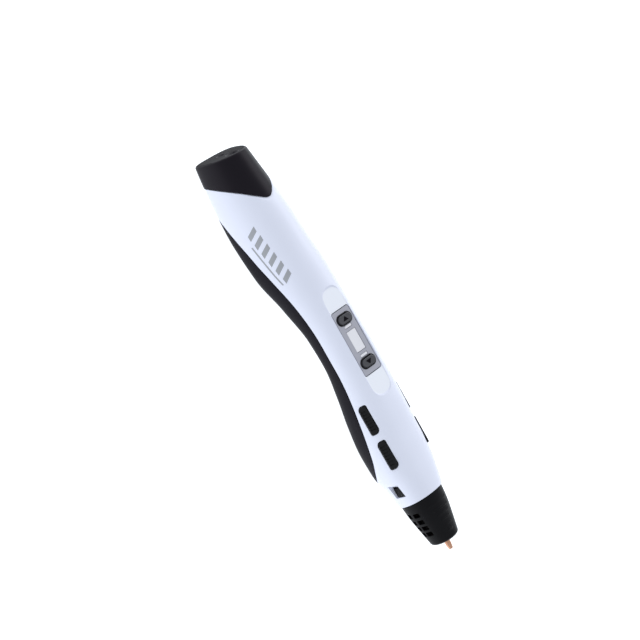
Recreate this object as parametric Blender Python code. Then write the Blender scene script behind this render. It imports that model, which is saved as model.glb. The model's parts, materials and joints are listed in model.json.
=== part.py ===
"""A hand-held 3D pen: shells, controls, feed drive and hot end, each as its own solid.

Sizes are in millimetres in the pen's own frame and are scaled to metres when a mesh is made.
Pen frame: X runs along the nozzle axis towards the tip, Z points out of the display, Y = 0 is
the plane of symmetry. The pen frame hangs on the empty "pen_axis", which lays the pen on its back.
"""
import math

import bmesh
import bpy
from mathutils import Matrix, Vector

MM = 0.001
GAP = 0.3            # clearance between neighbouring pieces

# ---- overall form: station X, half width, level of the widest line, depth in front, depth behind,
# ---- roundness in front, roundness behind (2 is an ellipse, more is squarer)
STATIONS = [
    (-90.0, 9.6, -7.6, 13.9, 6.0, 2.0, 2.6),
    (-82.0, 10.7, -7.6, 15.1, 6.6, 2.0, 2.6),
    (-70.0, 12.0, -7.2, 16.4, 7.8, 2.0, 2.6),
    (-55.0, 12.8, -6.4, 17.6, 8.6, 2.0, 2.6),
    (-40.0, 12.8, -4.4, 17.2, 8.7, 2.05, 2.6),
    (-25.0, 11.7, 0.0, 13.8, 8.7, 2.1, 2.5),
    (-10.0, 10.7, 2.4, 11.9, 7.3, 2.2, 2.4),
    (2.0, 10.6, 3.1, 11.2, 7.8, 2.3, 2.4),
    (15.0, 11.2, 2.1, 11.8, 9.3, 2.3, 2.4),
    (28.0, 12.1, 0.7, 12.4, 11.2, 2.3, 2.4),
    (40.0, 12.5, -0.2, 12.4, 12.2, 2.3, 2.4),
    (50.0, 12.1, -0.2, 11.6, 12.4, 2.3, 2.4),
    (57.0, 10.8, 0.0, 10.9, 10.9, 2.3, 2.3),
    (66.0, 9.4, 0.0, 9.5, 9.3, 2.2, 2.2),
]
LOFT_STEP = 7.8          # spacing of the loft's sections
LOFT_SIDES = 32
WALL = 1.6
SHELL_END = 65.5         # mouth of the shell, where the nozzle cover starts
CAP_END = -87.4          # the cap's end face at the nozzle axis' level
END_SLANT = 0.17         # the end face leans: X grows with Z
SLANT_FADE = 25.0        # the lean has gone this far from the end face
END_ROUND = 0.8
CAP_FLOOR = 1.9
SEAM_SLANT = 0.09        # how far the front seam leans back per mm of z, from its lowest point up
SEAM_LOW = -5.2
SEAM_FADE = 12.0

# how the pen lies on its back
LIE_ANGLE = math.atan2(2.54, 106.0)
REST_SHIFT = -0.05       # centres the pen over the origin
REST_DEPTH = 13.55       # pen-frame depth of the resting plane under the nozzle axis, at X = 0

# seams, as side views (X, Z)
COVER_ARCH = [(-70.2, -17.0), (-68.2, -12.4), (-65.2, -9.4), (-54.0, -4.9), (-45.0, -1.9), (-36.0, 1.3),
              (-24.5, 4.3), (-12.0, 5.7), (0.0, 5.9), (12.5, 5.8), (28.0, 4.0), (41.0, 1.0), (48.0, -2.6),
              (51.5, -5.5), (54.0, -9.5), (55.5, -17.0)]
CAP_SEAM = [(-60.6, 11.6), (-65.9, 9.5), (-68.7, 7.9), (-72.1, 4.8), (-75.7, -0.5), (-79.3, -8.0),
            (-82.4, -17.5)]

# display
DISPLAY_Z = 13.0
POCKET_X = (-25.7, 21.3)
POCKET_WIDTH = 10.3
PANEL_X = (-16.0, 11.1)
PANEL_WIDTH = 9.0
PANEL_CORNER = 0.8
PANEL_THICK = 1.2
LCD_X = (-7.15, 1.85)
LCD_WIDTH = 4.9
LAMP_X = (-8.9, 3.6)
LAMP_SIZE = (1.3, 3.7)
PILL_X = {"temp_up_button": -12.0, "temp_down_button": 6.75}
PILL_SIZE = (4.0, 7.3)   # along X, along Y
PILL_PROUD = 0.8

# side buttons
SIDE_X = {"rear": 26.5, "front": 42.0}
SIDE_LEVEL = {"rear": (10.23, 8.44), "front": (10.0, 8.0)}   # |y| and z where each stands on the surface
SIDE_TILT = math.radians(36.0)                               # outward normal above the horizontal
SIDE_SIZE = (12.0, 3.5)
SIDE_ROUND = 1.9
SIDE_CORNER = 0.5
SIDE_PROUD = {"rear": 0.1, "front": 0.35}
FLANGE_DEPTH = 3.1
FLANGE_THICK = 0.8
FLANGE_REACH = 0.7
SWITCH_SIZE = 3.6
SWITCH_GAP = 0.8
SIDE_BOARD_DEPTH = 7.3

# inlets in the cap
JACK_Z = 2.6
JACK_HOLE = 2.3
FEED_Z = -4.8            # level of the filament as it enters
INLET_HOLE = 1.4

# screws that hold the rear cover
COVER_SCREW_X = (-54.5, 44.0)

# feed drive
MOTOR_Z = 2.0
MOTOR_RADIUS = 5.0
MOTOR_X = (-71.5, -57.0)
GEARBOX_X = (-56.7, -47.0)
OUTPUT_Z = -0.5
SCREW_RADIUS = 3.4
SHAFT_RADIUS = 1.4
SCREW_X = (-45.0, -35.6)
FRAME_X = (-46.6, -32.2)
ROLLER_X = -41.0
ROLLER_Z = -7.9
ROLLER_RADIUS = 2.6
AXLE_RADIUS = 0.6
PIVOT_X = -46.6
PIVOT_Z = -8.6
IDLER_PIN_X = PIVOT_X + 1.6
PIN_WAY = 0.95           # radius of the holes round the idler's pin

# hot end
HOLDER_X = (41.0, 47.0)
COVER_X = (53.5, 85.2)
TIP_X = 90.0
NOZZLE_RADIUS = 1.2
WINDOW_X = (54.6, 60.5)
WINDOW_Z = (-1.0, 4.2)
WINDOW_SLOPE = 1.5       # how far the window's rear wall slants forward as it goes in
TAB_FACE = 9.6
VENT_X = (70.0, 73.2, 76.2, 79.2)
VENT_ANGLE = math.radians(14.5)
VENT_SIZE = (2.0, 3.0)

WHITE = ("white_plastic", (0.83, 0.85, 0.90), 0.38, 0.0)
BLACK = ("black_plastic", (0.016, 0.016, 0.020), 0.45, 0.0)
GREY = ("panel_grey", (0.36, 0.36, 0.40), 0.35, 0.0)
BUTTON = ("button_grey", (0.05, 0.05, 0.06), 0.4, 0.0)
CLEAR = ("lcd_glass", (0.80, 0.80, 0.84), 0.15, 0.0)
COPPER = ("nozzle_copper", (0.62, 0.32, 0.18), 0.3, 1.0)
STEEL = ("steel", (0.55, 0.56, 0.58), 0.3, 1.0)
BRASS = ("brass", (0.70, 0.52, 0.22), 0.3, 1.0)
BOARD = ("board_green", (0.02, 0.16, 0.07), 0.5, 0.0)
CHIP = ("chip_black", (0.02, 0.02, 0.022), 0.5, 0.0)
CERAMIC = ("ceramic_white", (0.80, 0.79, 0.75), 0.5, 0.0)
PTFE = ("ptfe", (0.86, 0.87, 0.88), 0.4, 0.0)
NYLON = ("nylon_frame", (0.25, 0.25, 0.27), 0.5, 0.0)
RED = ("wire_red", (0.55, 0.03, 0.03), 0.4, 0.0)
DARK = ("wire_black", (0.02, 0.02, 0.02), 0.4, 0.0)

# red wires, from the power jack, the motor and the heater; each has a black one mirrored beside it
WIRES = {
    "power_wire_red": [(-73.4, 4.2, 0.6), (-70.5, 6.2, 0.8), (-58.0, 7.2, 0.4), (-50.0, 7.4, 0.8),
                       (-38.0, 7.4, 2.2), (-27.0, 6.6, 5.2), (-21.0, 4.8, 7.2), (-17.4, 3.4, 7.9)],
    "motor_wire_red": [(-72.2, 4.6, 3.6), (-68.5, 5.2, 4.4), (-62.0, 4.8, 5.6), (-57.5, 3.8, 7.2),
                       (-50.0, 3.6, 7.6), (-40.0, 3.8, 7.8), (-30.0, 2.8, 8.2), (-22.0, 1.9, 8.2),
                       (-17.4, 1.2, 7.9)],
    "heater_wire_red": [(39.3, 3.4, -3.7), (39.9, 6.2, -3.2), (42.0, 7.4, -1.8), (48.0, 7.2, -1.0),
                        (52.0, 5.4, -0.9), (58.0, 5.2, -0.8), (63.0, 4.8, -0.8), (65.6, 4.1, -1.6)],
}
WIRE_RADIUS = 0.5
GUIDE_ROUTE = [(-31.6, 0, -4.8), (-27.0, 0, -4.8), (-21.0, 0, -4.2), (-14.0, 0, -2.3), (-7.0, 0, -0.9),
               (2.0, 0, -0.2), (12.0, 0, 0.0), (28.0, 0, 0.0), (44.2, 0, 0.0)]
GUIDE_RADIUS = 1.5

X_AXIS = Vector((1, 0, 0))
Y_AXIS = Vector((0, 1, 0))
Z_AXIS = Vector((0, 0, 1))


# ---------------------------------------------------------------- scene and objects
def clear_scene():
    for old in list(bpy.data.objects):
        bpy.data.objects.remove(old)


def new_collection(name):
    collection = bpy.data.collections.new(name)
    bpy.context.scene.collection.children.link(collection)
    return collection


def material(spec):
    name, colour, roughness, metallic = spec
    found = bpy.data.materials.get(name)
    if found:
        return found
    made = bpy.data.materials.new(name)
    made.use_nodes = True
    shader = made.node_tree.nodes["Principled BSDF"]
    shader.inputs["Base Color"].default_value = (*colour, 1.0)
    shader.inputs["Roughness"].default_value = roughness
    shader.inputs["Metallic"].default_value = metallic
    made.diffuse_color = (*colour, 1.0)
    return made


def add_object(name, bm, spec=None, pivot=(0.0, 0.0, 0.0)):
    """An object from a bmesh in pen millimetres, with its origin at pivot; no spec makes a cutter."""
    bmesh.ops.translate(bm, verts=bm.verts, vec=-Vector(pivot))
    bmesh.ops.scale(bm, verts=bm.verts, vec=(MM, MM, MM))
    bmesh.ops.recalc_face_normals(bm, faces=bm.faces)
    mesh = bpy.data.meshes.new(name)
    bm.to_mesh(mesh)
    bm.free()
    mesh.shade_smooth()
    mesh.set_sharp_from_angle(angle=math.radians(35))
    made = bpy.data.objects.new(name, mesh)
    made.parent = pen_axis
    made.location = Vector(pivot) * MM
    if spec:
        mesh.materials.append(material(spec))
        parts.objects.link(made)
    else:
        made.hide_render = True
        made.display_type = "WIRE"
        cutters.objects.link(made)
    return made


def boolean(target, cutter, operation="DIFFERENCE"):
    modifier = target.modifiers.new(operation.lower() + "_" + cutter.name, "BOOLEAN")
    modifier.operation = operation
    modifier.object = cutter
    modifier.solver = "EXACT"


# ---------------------------------------------------------------- shapes in pen millimetres
def box(bm, low, high):
    """An upright box between two corners."""
    low, high = Vector(low), Vector(high)
    size = high - low
    matrix = Matrix.Translation((low + high) / 2) @ Matrix.Diagonal((*size, 1.0))
    return bmesh.ops.create_cube(bm, size=1.0, matrix=matrix)["verts"]


def rod(bm, start, end, radius, sides=20, end_radius=None):
    """A cylinder, or a cone, from start to end."""
    start, end = Vector(start), Vector(end)
    along = end - start
    turn = Z_AXIS.rotation_difference(along).to_matrix().to_4x4() @ Matrix.Rotation(math.pi / sides, 4, "Z")
    matrix = Matrix.Translation((start + end) / 2) @ turn
    last = radius if end_radius is None else end_radius
    bmesh.ops.create_cone(bm, cap_ends=True, segments=sides, radius1=radius, radius2=last,
                          depth=along.length, matrix=matrix)


def prism(bm, outline, near, far):
    """A flat outline of 3-D points, moved by near and closed off at far."""
    near, far = Vector(near), Vector(far)
    face = bm.faces.new([bm.verts.new(Vector(point) + near) for point in outline])
    made = bmesh.ops.extrude_face_region(bm, geom=[face])
    moved = [item for item in made["geom"] if isinstance(item, bmesh.types.BMVert)]
    bmesh.ops.translate(bm, verts=moved, vec=far - near)


def loft(bm, rows):
    """A solid skinned over rings of points, closed at both ends."""
    rings = [[bm.verts.new(point) for point in row] for row in rows]
    for low, high in zip(rings, rings[1:]):
        for i in range(len(low)):
            j = (i + 1) % len(low)
            bm.faces.new((low[i], low[j], high[j], high[i]))
    bm.faces.new(rings[0])
    bm.faces.new(rings[-1])


def circle(centre, radius, along, sides):
    """Points round a centre, in the plane square to the unit direction along."""
    turn = Z_AXIS.rotation_difference(along)
    points = []
    for i in range(sides):
        angle = 2 * math.pi * i / sides
        spoke = Vector((radius * math.cos(angle), radius * math.sin(angle), 0))
        points.append(Vector(centre) + turn @ spoke)
    return points


def turned(bm, profile, z=0.0, sides=32):
    """A closed profile of (X, radius) points turned about the line Y = 0 at level z."""
    ring = [bm.verts.new((x, 0.0, z + radius)) for x, radius in profile]
    edges = [bm.edges.new((ring[i], ring[(i + 1) % len(ring)])) for i in range(len(ring))]
    bmesh.ops.spin(bm, geom=ring + edges, cent=(0.0, 0.0, z), axis=X_AXIS, angle=2 * math.pi,
                   steps=sides, use_merge=True)
    bmesh.ops.remove_doubles(bm, verts=bm.verts, dist=0.0005)


def smooth_line(points, step):
    """Points every step or so along a Catmull-Rom curve through the given ones."""
    points = [Vector(point) for point in points]
    ends = [points[0] * 2 - points[1]] + points + [points[-1] * 2 - points[-2]]
    line = []
    for a, b, c, d in zip(ends, ends[1:], ends[2:], ends[3:]):
        count = max(1, round((c - b).length / step))
        for i in range(count):
            t = i / count
            line.append((b * 2 + (c - a) * t + (a * 2 - b * 5 + c * 4 - d) * t * t
                         + (b * 3 - a - c * 3 + d) * t ** 3) / 2)
    return line + [points[-1]]


def rounded_outline(size, radii, steps=5):
    """A rectangle's outline about the origin; radii start at its low-x, low-y corner and go round."""
    half_x, half_y = size[0] / 2, size[1] / 2
    corners = [(-1, -1, 180), (1, -1, 270), (1, 1, 0), (-1, 1, 90)]
    outline = []
    for (sign_x, sign_y, first), radius in zip(corners, radii):
        centre = (sign_x * (half_x - radius), sign_y * (half_y - radius))
        for i in range(steps + 1):
            angle = math.radians(first + 90 * i / steps)
            outline.append((centre[0] + radius * math.cos(angle), centre[1] + radius * math.sin(angle)))
    return outline


# ---------------------------------------------------------------- the body's form
def at_station(x):
    """Half width, widest level, front and back depth and roundness at x, by monotone cubics."""
    column = [station[0] for station in STATIONS]
    last = len(STATIONS) - 2
    i = max(0, min(last, sum(1 for c in column if c <= x) - 1))
    span = column[i + 1] - column[i]
    t = (x - column[i]) / span
    values = []
    for k in range(1, len(STATIONS[0])):
        slopes = [slope(j, k) for j in (i, i + 1)]
        y0, y1 = STATIONS[i][k], STATIONS[i + 1][k]
        values.append((2 * t ** 3 - 3 * t * t + 1) * y0 + (t ** 3 - 2 * t * t + t) * span * slopes[0]
                      + (3 * t * t - 2 * t ** 3) * y1 + (t ** 3 - t * t) * span * slopes[1])
    return values


def slope(j, k):
    """The slope of column k at station j: the harmonic mean of its two neighbours' slopes."""
    rises = []
    for a, b in ((j - 1, j), (j, j + 1)):
        if a >= 0 and b < len(STATIONS):
            rises.append((STATIONS[b][k] - STATIONS[a][k]) / (STATIONS[b][0] - STATIONS[a][0]))
    if len(rises) == 1:
        return rises[0]
    if rises[0] * rises[1] <= 0:
        return 0.0
    return 2 * rises[0] * rises[1] / (rises[0] + rises[1])


def section(x, inset):
    """The body's section at x, shrunk by inset; it leans with the end face and with the front seam."""
    half, level, front, back, round_front, round_back = at_station(x)
    end_lean = END_SLANT * max(0.0, 1 - (x - CAP_END) / SLANT_FADE)
    seam_lean = SEAM_SLANT * min(1.0, max(0.0, 1 - (SHELL_END - x) / SEAM_FADE))
    points = []
    for i in range(LOFT_SIDES):
        angle = 2 * math.pi * i / LOFT_SIDES
        cos, sin = math.cos(angle), math.sin(angle)
        power = 2 / (round_front if sin >= 0 else round_back)
        depth = front if sin >= 0 else back
        y = (half - inset) * math.copysign(abs(cos) ** power, cos)
        z = level + (depth - inset) * math.copysign(abs(sin) ** power, sin)
        points.append(Vector((x + end_lean * z - seam_lean * (z - SEAM_LOW), y, z)))
    return points


def form(inset, start, end, round_end):
    """The closed body form between two stations, its cap end rounded by round_end."""
    steps = 4 if round_end else 0
    rows = []
    for i in range(steps):
        angle = math.pi / 2 * i / steps
        rows.append((start + round_end * (1 - math.cos(angle)), inset + round_end * (1 - math.sin(angle))))
    first = start + round_end
    count = round((end - first) / LOFT_STEP)
    rows += [(first + (end - first) * i / count, inset) for i in range(count + 1)]
    bm = bmesh.new()
    loft(bm, [section(x, grown) for x, grown in rows])
    return bm


def side_region(name, seam, corners, shrink):
    """A cutter for everything on one side of a seam drawn in side view; shrink pulls it back."""
    line = [Vector((x, 0.0, z)) for x, z in seam]
    line = smooth_line(line, 5.0)
    outline = []
    for i, point in enumerate(line):
        along = line[min(i + 1, len(line) - 1)] - line[max(i - 1, 0)]
        outline.append(point - along.cross(Y_AXIS).normalized() * shrink)
    outline += [Vector((x, 0.0, z)) for x, z in corners]
    bm = bmesh.new()
    prism(bm, outline, Y_AXIS * -18, Y_AXIS * 18)
    return add_object(name, bm)


def cutter_box(name, low, high):
    bm = bmesh.new()
    box(bm, low, high)
    return add_object(name, bm)


def cutter_rod(name, start, end, radius, sides=20):
    bm = bmesh.new()
    rod(bm, start, end, radius, sides)
    return add_object(name, bm)


# ---------------------------------------------------------------- side buttons' own axes
def side_place(station, side):
    """Middle of a side button's outer face, its inward slide axis and its upward direction."""
    y, z = SIDE_LEVEL[station]
    inward = Vector((0, -side * math.cos(SIDE_TILT), -math.sin(SIDE_TILT)))
    up = Vector((0, -side * math.sin(SIDE_TILT), math.cos(SIDE_TILT)))
    return Vector((SIDE_X[station], side * y, z)), inward, up


def side_outline(station, side, grow):
    """The button's outline: two opposite corners well rounded, the other two nearly sharp."""
    centre, _, up = side_place(station, side)
    size = (SIDE_SIZE[0] + 2 * grow, SIDE_SIZE[1] + 2 * grow)
    radii = (SIDE_ROUND + grow, SIDE_CORNER + grow, SIDE_ROUND + grow, SIDE_CORNER + grow)
    return [centre + X_AXIS * u + up * v for u, v in rounded_outline(size, radii)]


def make_side_button(name, station, side):
    centre, inward, up = side_place(station, side)
    bm = bmesh.new()
    proud = SIDE_PROUD[station]
    prism(bm, side_outline(station, side, 0.0), -inward * proud, inward * (FLANGE_DEPTH + 0.1))
    button = add_object(name, bm, BLACK, centre)
    extra = bmesh.new()
    prism(extra, side_outline(station, side, FLANGE_REACH), inward * FLANGE_DEPTH,
          inward * (FLANGE_DEPTH + FLANGE_THICK))
    boolean(button, add_object(name + "_flange", extra), "UNION")
    boolean(button, cutter_side_ribs(name, centre - inward * proud, inward, up))
    post_end = SIDE_BOARD_DEPTH - 2.2 - SWITCH_GAP
    post = cutter_rod(name + "_post", centre + inward * FLANGE_DEPTH, centre + inward * post_end, 0.9, 12)
    boolean(button, post, "UNION")


def cutter_side_ribs(name, face, inward, up):
    """Shallow grooves across the button's face; what stands between them are its grip ribs."""
    bm = bmesh.new()
    for i in range(6):
        middle = face + X_AXIS * (i - 2.5) * 1.5
        near = middle - X_AXIS * 0.35 - up * 1.15
        outline = [near, near + X_AXIS * 0.7, near + X_AXIS * 0.7 + up * 2.3, near + up * 2.3]
        prism(bm, outline, -inward * 0.5, inward * 0.25)
    return add_object(name + "_grooves", bm)


def make_side_switches(side, label):
    """The little board behind one side's two buttons, and a push switch under each."""
    centres = [side_place(station, side) for station in ("rear", "front")]
    middle = (centres[0][0] + centres[1][0]) / 2
    inward, up = centres[0][1], centres[0][2]
    board_at = SIDE_BOARD_DEPTH
    bm = bmesh.new()
    board = [middle + X_AXIS * x + up * v for x, v in ((-12, -1.9), (12, -1.9), (12, 1.9), (-12, 1.9))]
    prism(bm, board, inward * board_at, inward * (board_at + 0.8))
    add_object(label + "_switch_board", bm, BOARD)
    for (centre, _, _), station in zip(centres, ("rear", "front")):
        bm = bmesh.new()
        base = Vector((centre.x, middle.y, middle.z))
        half = SWITCH_SIZE / 2
        corners = ((-half, -half), (half, -half), (half, half), (-half, half))
        body = [base + X_AXIS * x + up * v for x, v in corners]
        prism(bm, body, inward * (board_at - 1.7), inward * (board_at - GAP / 2))
        switch = add_object(label + "_switch_" + station, bm, CHIP)
        boolean(switch, cutter_rod(switch.name + "_stem", base + inward * (board_at - 1.5),
                                   base + inward * (board_at - 2.2), 0.8, 12), "UNION")


# ---------------------------------------------------------------- shells
def make_shells():
    inner = add_object("inner_form", form(WALL, CAP_END + CAP_FLOOR, SHELL_END + 3, 0.0))
    cover_side = [(COVER_ARCH[-1][0], -30.0), (COVER_ARCH[0][0], -30.0)]
    cap_side = [(-110.0, CAP_SEAM[-1][1]), (-110.0, 24.0), (CAP_SEAM[0][0], 24.0)]
    cover_gap = side_region("cover_opening", COVER_ARCH, cover_side, 0.0)
    cover_room = side_region("cover_room", COVER_ARCH, cover_side, GAP)
    cap_gap = side_region("cap_opening", CAP_SEAM, cap_side, 0.0)
    cap_room = side_region("cap_room", CAP_SEAM, cap_side, GAP)

    shell = add_object("front_shell", form(0.0, CAP_END, SHELL_END, END_ROUND), WHITE)
    boolean(shell, inner)
    boolean(shell, cap_gap)
    boolean(shell, cover_gap)
    for cutter in shell_openings():
        boolean(shell, cutter)

    flat = resting_cutter()
    cover = add_object("rear_cover", form(0.0, CAP_END, SHELL_END, END_ROUND), BLACK)
    boolean(cover, inner)
    boolean(cover, cover_room, "INTERSECT")
    boolean(cover, flat)
    for x in COVER_SCREW_X:
        boolean(cover, cutter_rod("screw_way_%d" % x, (x, 0, -20), (x, 0, -8), 1.2, 16))
        seat = cover_screw_head(x)
        boolean(cover, cutter_rod("screw_head_way_%d" % x, (x, 0, -20), (x, 0, seat), 2.3, 20))

    cap = add_object("end_cap", form(0.0, CAP_END, SHELL_END, END_ROUND), BLACK)
    boolean(cap, inner)
    boolean(cap, cap_room, "INTERSECT")
    boolean(cap, cutter_rod("jack_way", (-95, 0, JACK_Z), (-80, 0, JACK_Z), JACK_HOLE, 24))
    boolean(cap, cutter_rod("filament_way", (-95, 0, FEED_Z), (-80, 0, FEED_Z), INLET_HOLE, 20))


def resting_cutter():
    """Shaves the flats on which the pen rests, square to the world's Z."""
    bm = bmesh.new()
    box(bm, (-120, -30, -20), (120, 30, 0))
    flat = add_object("resting_plane", bm)
    flat.parent = None
    return flat


def cutter_snap_window(side):
    """The window for one snap tab; its rear wall slants forward from the surface inwards."""
    bm = bmesh.new()
    outline = [(WINDOW_X[0], 15.0), (WINDOW_X[0], 10.9), (WINDOW_X[0] + WINDOW_SLOPE, 9.0),
               (WINDOW_X[0] + WINDOW_SLOPE, 7.0), (WINDOW_X[1], 7.0), (WINDOW_X[1], 15.0)]
    prism(bm, [Vector((x, side * y, 0)) for x, y in outline], Z_AXIS * WINDOW_Z[0], Z_AXIS * WINDOW_Z[1])
    return add_object("snap_way_%d" % side, bm)


def shell_openings():
    """Cutters for the display pocket and panel, the side buttons and the two snap windows."""
    made = []
    length = POCKET_X[1] - POCKET_X[0]
    middle = (POCKET_X[0] + POCKET_X[1]) / 2
    bm = bmesh.new()
    outline = rounded_outline((length, POCKET_WIDTH), [POCKET_WIDTH / 2 - 0.01] * 4, 8)
    prism(bm, [Vector((middle + x, y, 0)) for x, y in outline], Z_AXIS * DISPLAY_Z, Z_AXIS * 20)
    made.append(add_object("display_pocket", bm))
    bm = bmesh.new()
    prism(bm, panel_outline(GAP), Z_AXIS * 5, Z_AXIS * 20)
    made.append(add_object("panel_way", bm))
    for side in (-1, 1):
        for station in SIDE_X:
            _, inward, _ = side_place(station, side)
            bm = bmesh.new()
            prism(bm, side_outline(station, side, GAP), -inward * 4, inward * (FLANGE_DEPTH - GAP))
            made.append(add_object("side_way_%s_%d" % (station, side), bm))
        made.append(cutter_snap_window(side))
    return made


def cover_screw_head(x):
    """The level of the screw's head seat at x."""
    _, level, _, back, _, _ = at_station(x)
    return level - back + 1.1


def make_cover_screws():
    for name, x in zip(("cover_screw_rear", "cover_screw_front"), COVER_SCREW_X):
        seat = cover_screw_head(x)
        bm = bmesh.new()
        rod(bm, (x, 0, seat - 0.8), (x, 0, seat - GAP), 1.9, 20)
        screw = add_object(name, bm, STEEL)
        shank = cutter_rod(name + "_shank", (x, 0, seat - 0.6), (x, 0, seat + 5.0), 0.8, 16)
        boolean(screw, shank, "UNION")
        boolean(screw, cutter_box(name + "_slot", (x - 1.5, -0.2, seat - 2), (x + 1.5, 0.2, seat - 0.6)))


# ---------------------------------------------------------------- display
def panel_outline(grow):
    middle = (PANEL_X[0] + PANEL_X[1]) / 2
    size = (PANEL_X[1] - PANEL_X[0] + 2 * grow, PANEL_WIDTH + 2 * grow)
    return [Vector((middle + x, y, 0)) for x, y in rounded_outline(size, [PANEL_CORNER + grow] * 4, 3)]


def make_display():
    bm = bmesh.new()
    prism(bm, panel_outline(0.0), Z_AXIS * (DISPLAY_Z - PANEL_THICK), Z_AXIS * DISPLAY_Z)
    panel = add_object("display_panel", bm, GREY)
    windows = {"lcd_window": (LCD_X, LCD_WIDTH)}
    for name, x in zip(("lamp_window_rear", "lamp_window_front"), LAMP_X):
        windows[name] = ((x - LAMP_SIZE[0] / 2, x + LAMP_SIZE[0] / 2), LAMP_SIZE[1])
    for name, (span, width) in windows.items():
        boolean(panel, cutter_box(name + "_way", (span[0], -width / 2, 10), (span[1], width / 2, 15)))
        bm = bmesh.new()
        inset = 0.15
        box(bm, (span[0] + inset, -width / 2 + inset, DISPLAY_Z - PANEL_THICK),
            (span[1] - inset, width / 2 - inset, DISPLAY_Z - 0.1))
        add_object(name, bm, CLEAR)
    for name, x in PILL_X.items():
        make_pill_button(name, x, panel)


def pill_outline(x, grow):
    size = (PILL_SIZE[0] + 2 * grow, PILL_SIZE[1] + 2 * grow)
    return [Vector((x + u, v, 0)) for u, v in rounded_outline(size, [size[0] / 2 - 0.01] * 4, 6)]


def make_pill_button(name, x, panel):
    """A pill-shaped key that sinks through the panel; its flange stays under it."""
    bm = bmesh.new()
    prism(bm, pill_outline(x, 0.0), Z_AXIS * 5, Z_AXIS * 20)
    boolean(panel, add_object(name + "_way", bm))
    top = DISPLAY_Z + PILL_PROUD
    flange_top = DISPLAY_Z - PANEL_THICK - GAP
    bm = bmesh.new()
    prism(bm, pill_outline(x, -GAP), Z_AXIS * (flange_top - 0.4), Z_AXIS * top)
    button = add_object(name, bm, BUTTON, (x, 0, top))
    bm = bmesh.new()
    prism(bm, pill_outline(x, 0.5), Z_AXIS * (flange_top - 0.9), Z_AXIS * flange_top)
    boolean(button, add_object(name + "_flange", bm), "UNION")


def make_display_board():
    """The board under the display with its LCD module and the two push switches of the keys."""
    bm = bmesh.new()
    box(bm, (-17.0, -6.0, 7.4), (16.5, 6.0, 8.4))
    add_object("display_board", bm, BOARD)
    bm = bmesh.new()
    box(bm, (LCD_X[0] - 0.6, -3.6, 8.7), (LCD_X[1] + 0.6, 3.6, DISPLAY_Z - PANEL_THICK - GAP))
    add_object("lcd_module", bm, CLEAR)
    for key, x in PILL_X.items():
        bm = bmesh.new()
        box(bm, (x - 1.6, -1.6, 8.55), (x + 1.6, 1.6, 9.6))
        add_object(key.replace("button", "switch"), bm, CHIP)


# ---------------------------------------------------------------- control board
def make_control_board():
    """The main board under the filament tube, with its processor, motor driver and capacitor."""
    bm = bmesh.new()
    box(bm, (15.5, -5.5, -4.2), (38.5, 5.5, -3.2))
    add_object("control_board", bm, BOARD)
    chips = {"processor_chip": ((17.0, -2.5), (22.0, 2.5)),
             "motor_driver_chip": ((25.0, -2.0), (29.0, 2.0))}
    for name, (low, high) in chips.items():
        bm = bmesh.new()
        box(bm, (*low, -5.6), (*high, -4.35))
        add_object(name, bm, CHIP)
    bm = bmesh.new()
    rod(bm, (34.0, 0, -4.5), (34.0, 0, -8.2), 2.0, 20)
    add_object("capacitor", bm, DARK)


# ---------------------------------------------------------------- power and filament inlets
def make_inlets():
    bm = bmesh.new()
    box(bm, (-82.0, -3.5, -1.2), (-74.0, 3.5, 1.6))
    jack = add_object("power_jack", bm, CHIP)
    boolean(jack, cutter_rod("jack_barrel", (-84.6, 0, JACK_Z), (-74.6, 0, JACK_Z), 2.25, 24), "UNION")
    boolean(jack, cutter_rod("jack_bore", (-88, 0, JACK_Z), (-76.0, 0, JACK_Z), 1.75, 24))
    boolean(jack, cutter_rod("jack_pin", (-84.0, 0, JACK_Z), (-75.2, 0, JACK_Z), 0.55, 12), "UNION")
    bm = bmesh.new()
    turned(bm, [(-85.6, 1.0), (-85.6, 1.3), (-58.0, 1.3), (-58.0, 1.0)], FEED_Z, 16)
    add_object("inlet_tube", bm, PTFE)


# ---------------------------------------------------------------- motor and feed
def make_motor():
    bm = bmesh.new()
    rod(bm, (MOTOR_X[0], 0, MOTOR_Z), (MOTOR_X[1], 0, MOTOR_Z), MOTOR_RADIUS, 28)
    motor = add_object("motor", bm, STEEL)
    for side in (-1, 1):
        low, high = sorted((side * 4.2, side * 8.0))
        boolean(motor, cutter_box("motor_flat_%d" % side, (-80, low, -5), (-50, high, 10)))
    bm = bmesh.new()
    rod(bm, (MOTOR_X[0] - 2.0, 0, MOTOR_Z), (MOTOR_X[0] - GAP, 0, MOTOR_Z), 3.6, 24)
    add_object("motor_end_cap", bm, CHIP)
    bm = bmesh.new()
    rod(bm, (GEARBOX_X[0], 0, MOTOR_Z), (GEARBOX_X[1], 0, MOTOR_Z), MOTOR_RADIUS, 28)
    gearbox = add_object("gearbox", bm, BRASS)
    boolean(gearbox, cutter_rod("output_bore", (-50, 0, OUTPUT_Z), (-46, 0, OUTPUT_Z), 1.8, 20))
    bm = bmesh.new()
    box(bm, (-56.5, -6.2, -9.0), (-52.5, 6.2, 6.6))
    mount = add_object("motor_mount", bm, NYLON)
    boolean(mount, cutter_rod("gearbox_seat", (-60, 0, MOTOR_Z), (-50, 0, MOTOR_Z),
                              MOTOR_RADIUS + GAP, 28))
    boolean(mount, cutter_box("mount_top", (-60, -3.0, 5), (-50, 3.0, 12)))
    boolean(mount, cutter_rod("mount_filament_way", (-60, 0, FEED_Z), (-50, 0, FEED_Z), 1.0, 16))
    boolean(mount, cutter_rod("mount_screw_way", (COVER_SCREW_X[0], 0, -12), (COVER_SCREW_X[0], 0, -6.8),
                              1.1, 16))


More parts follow.
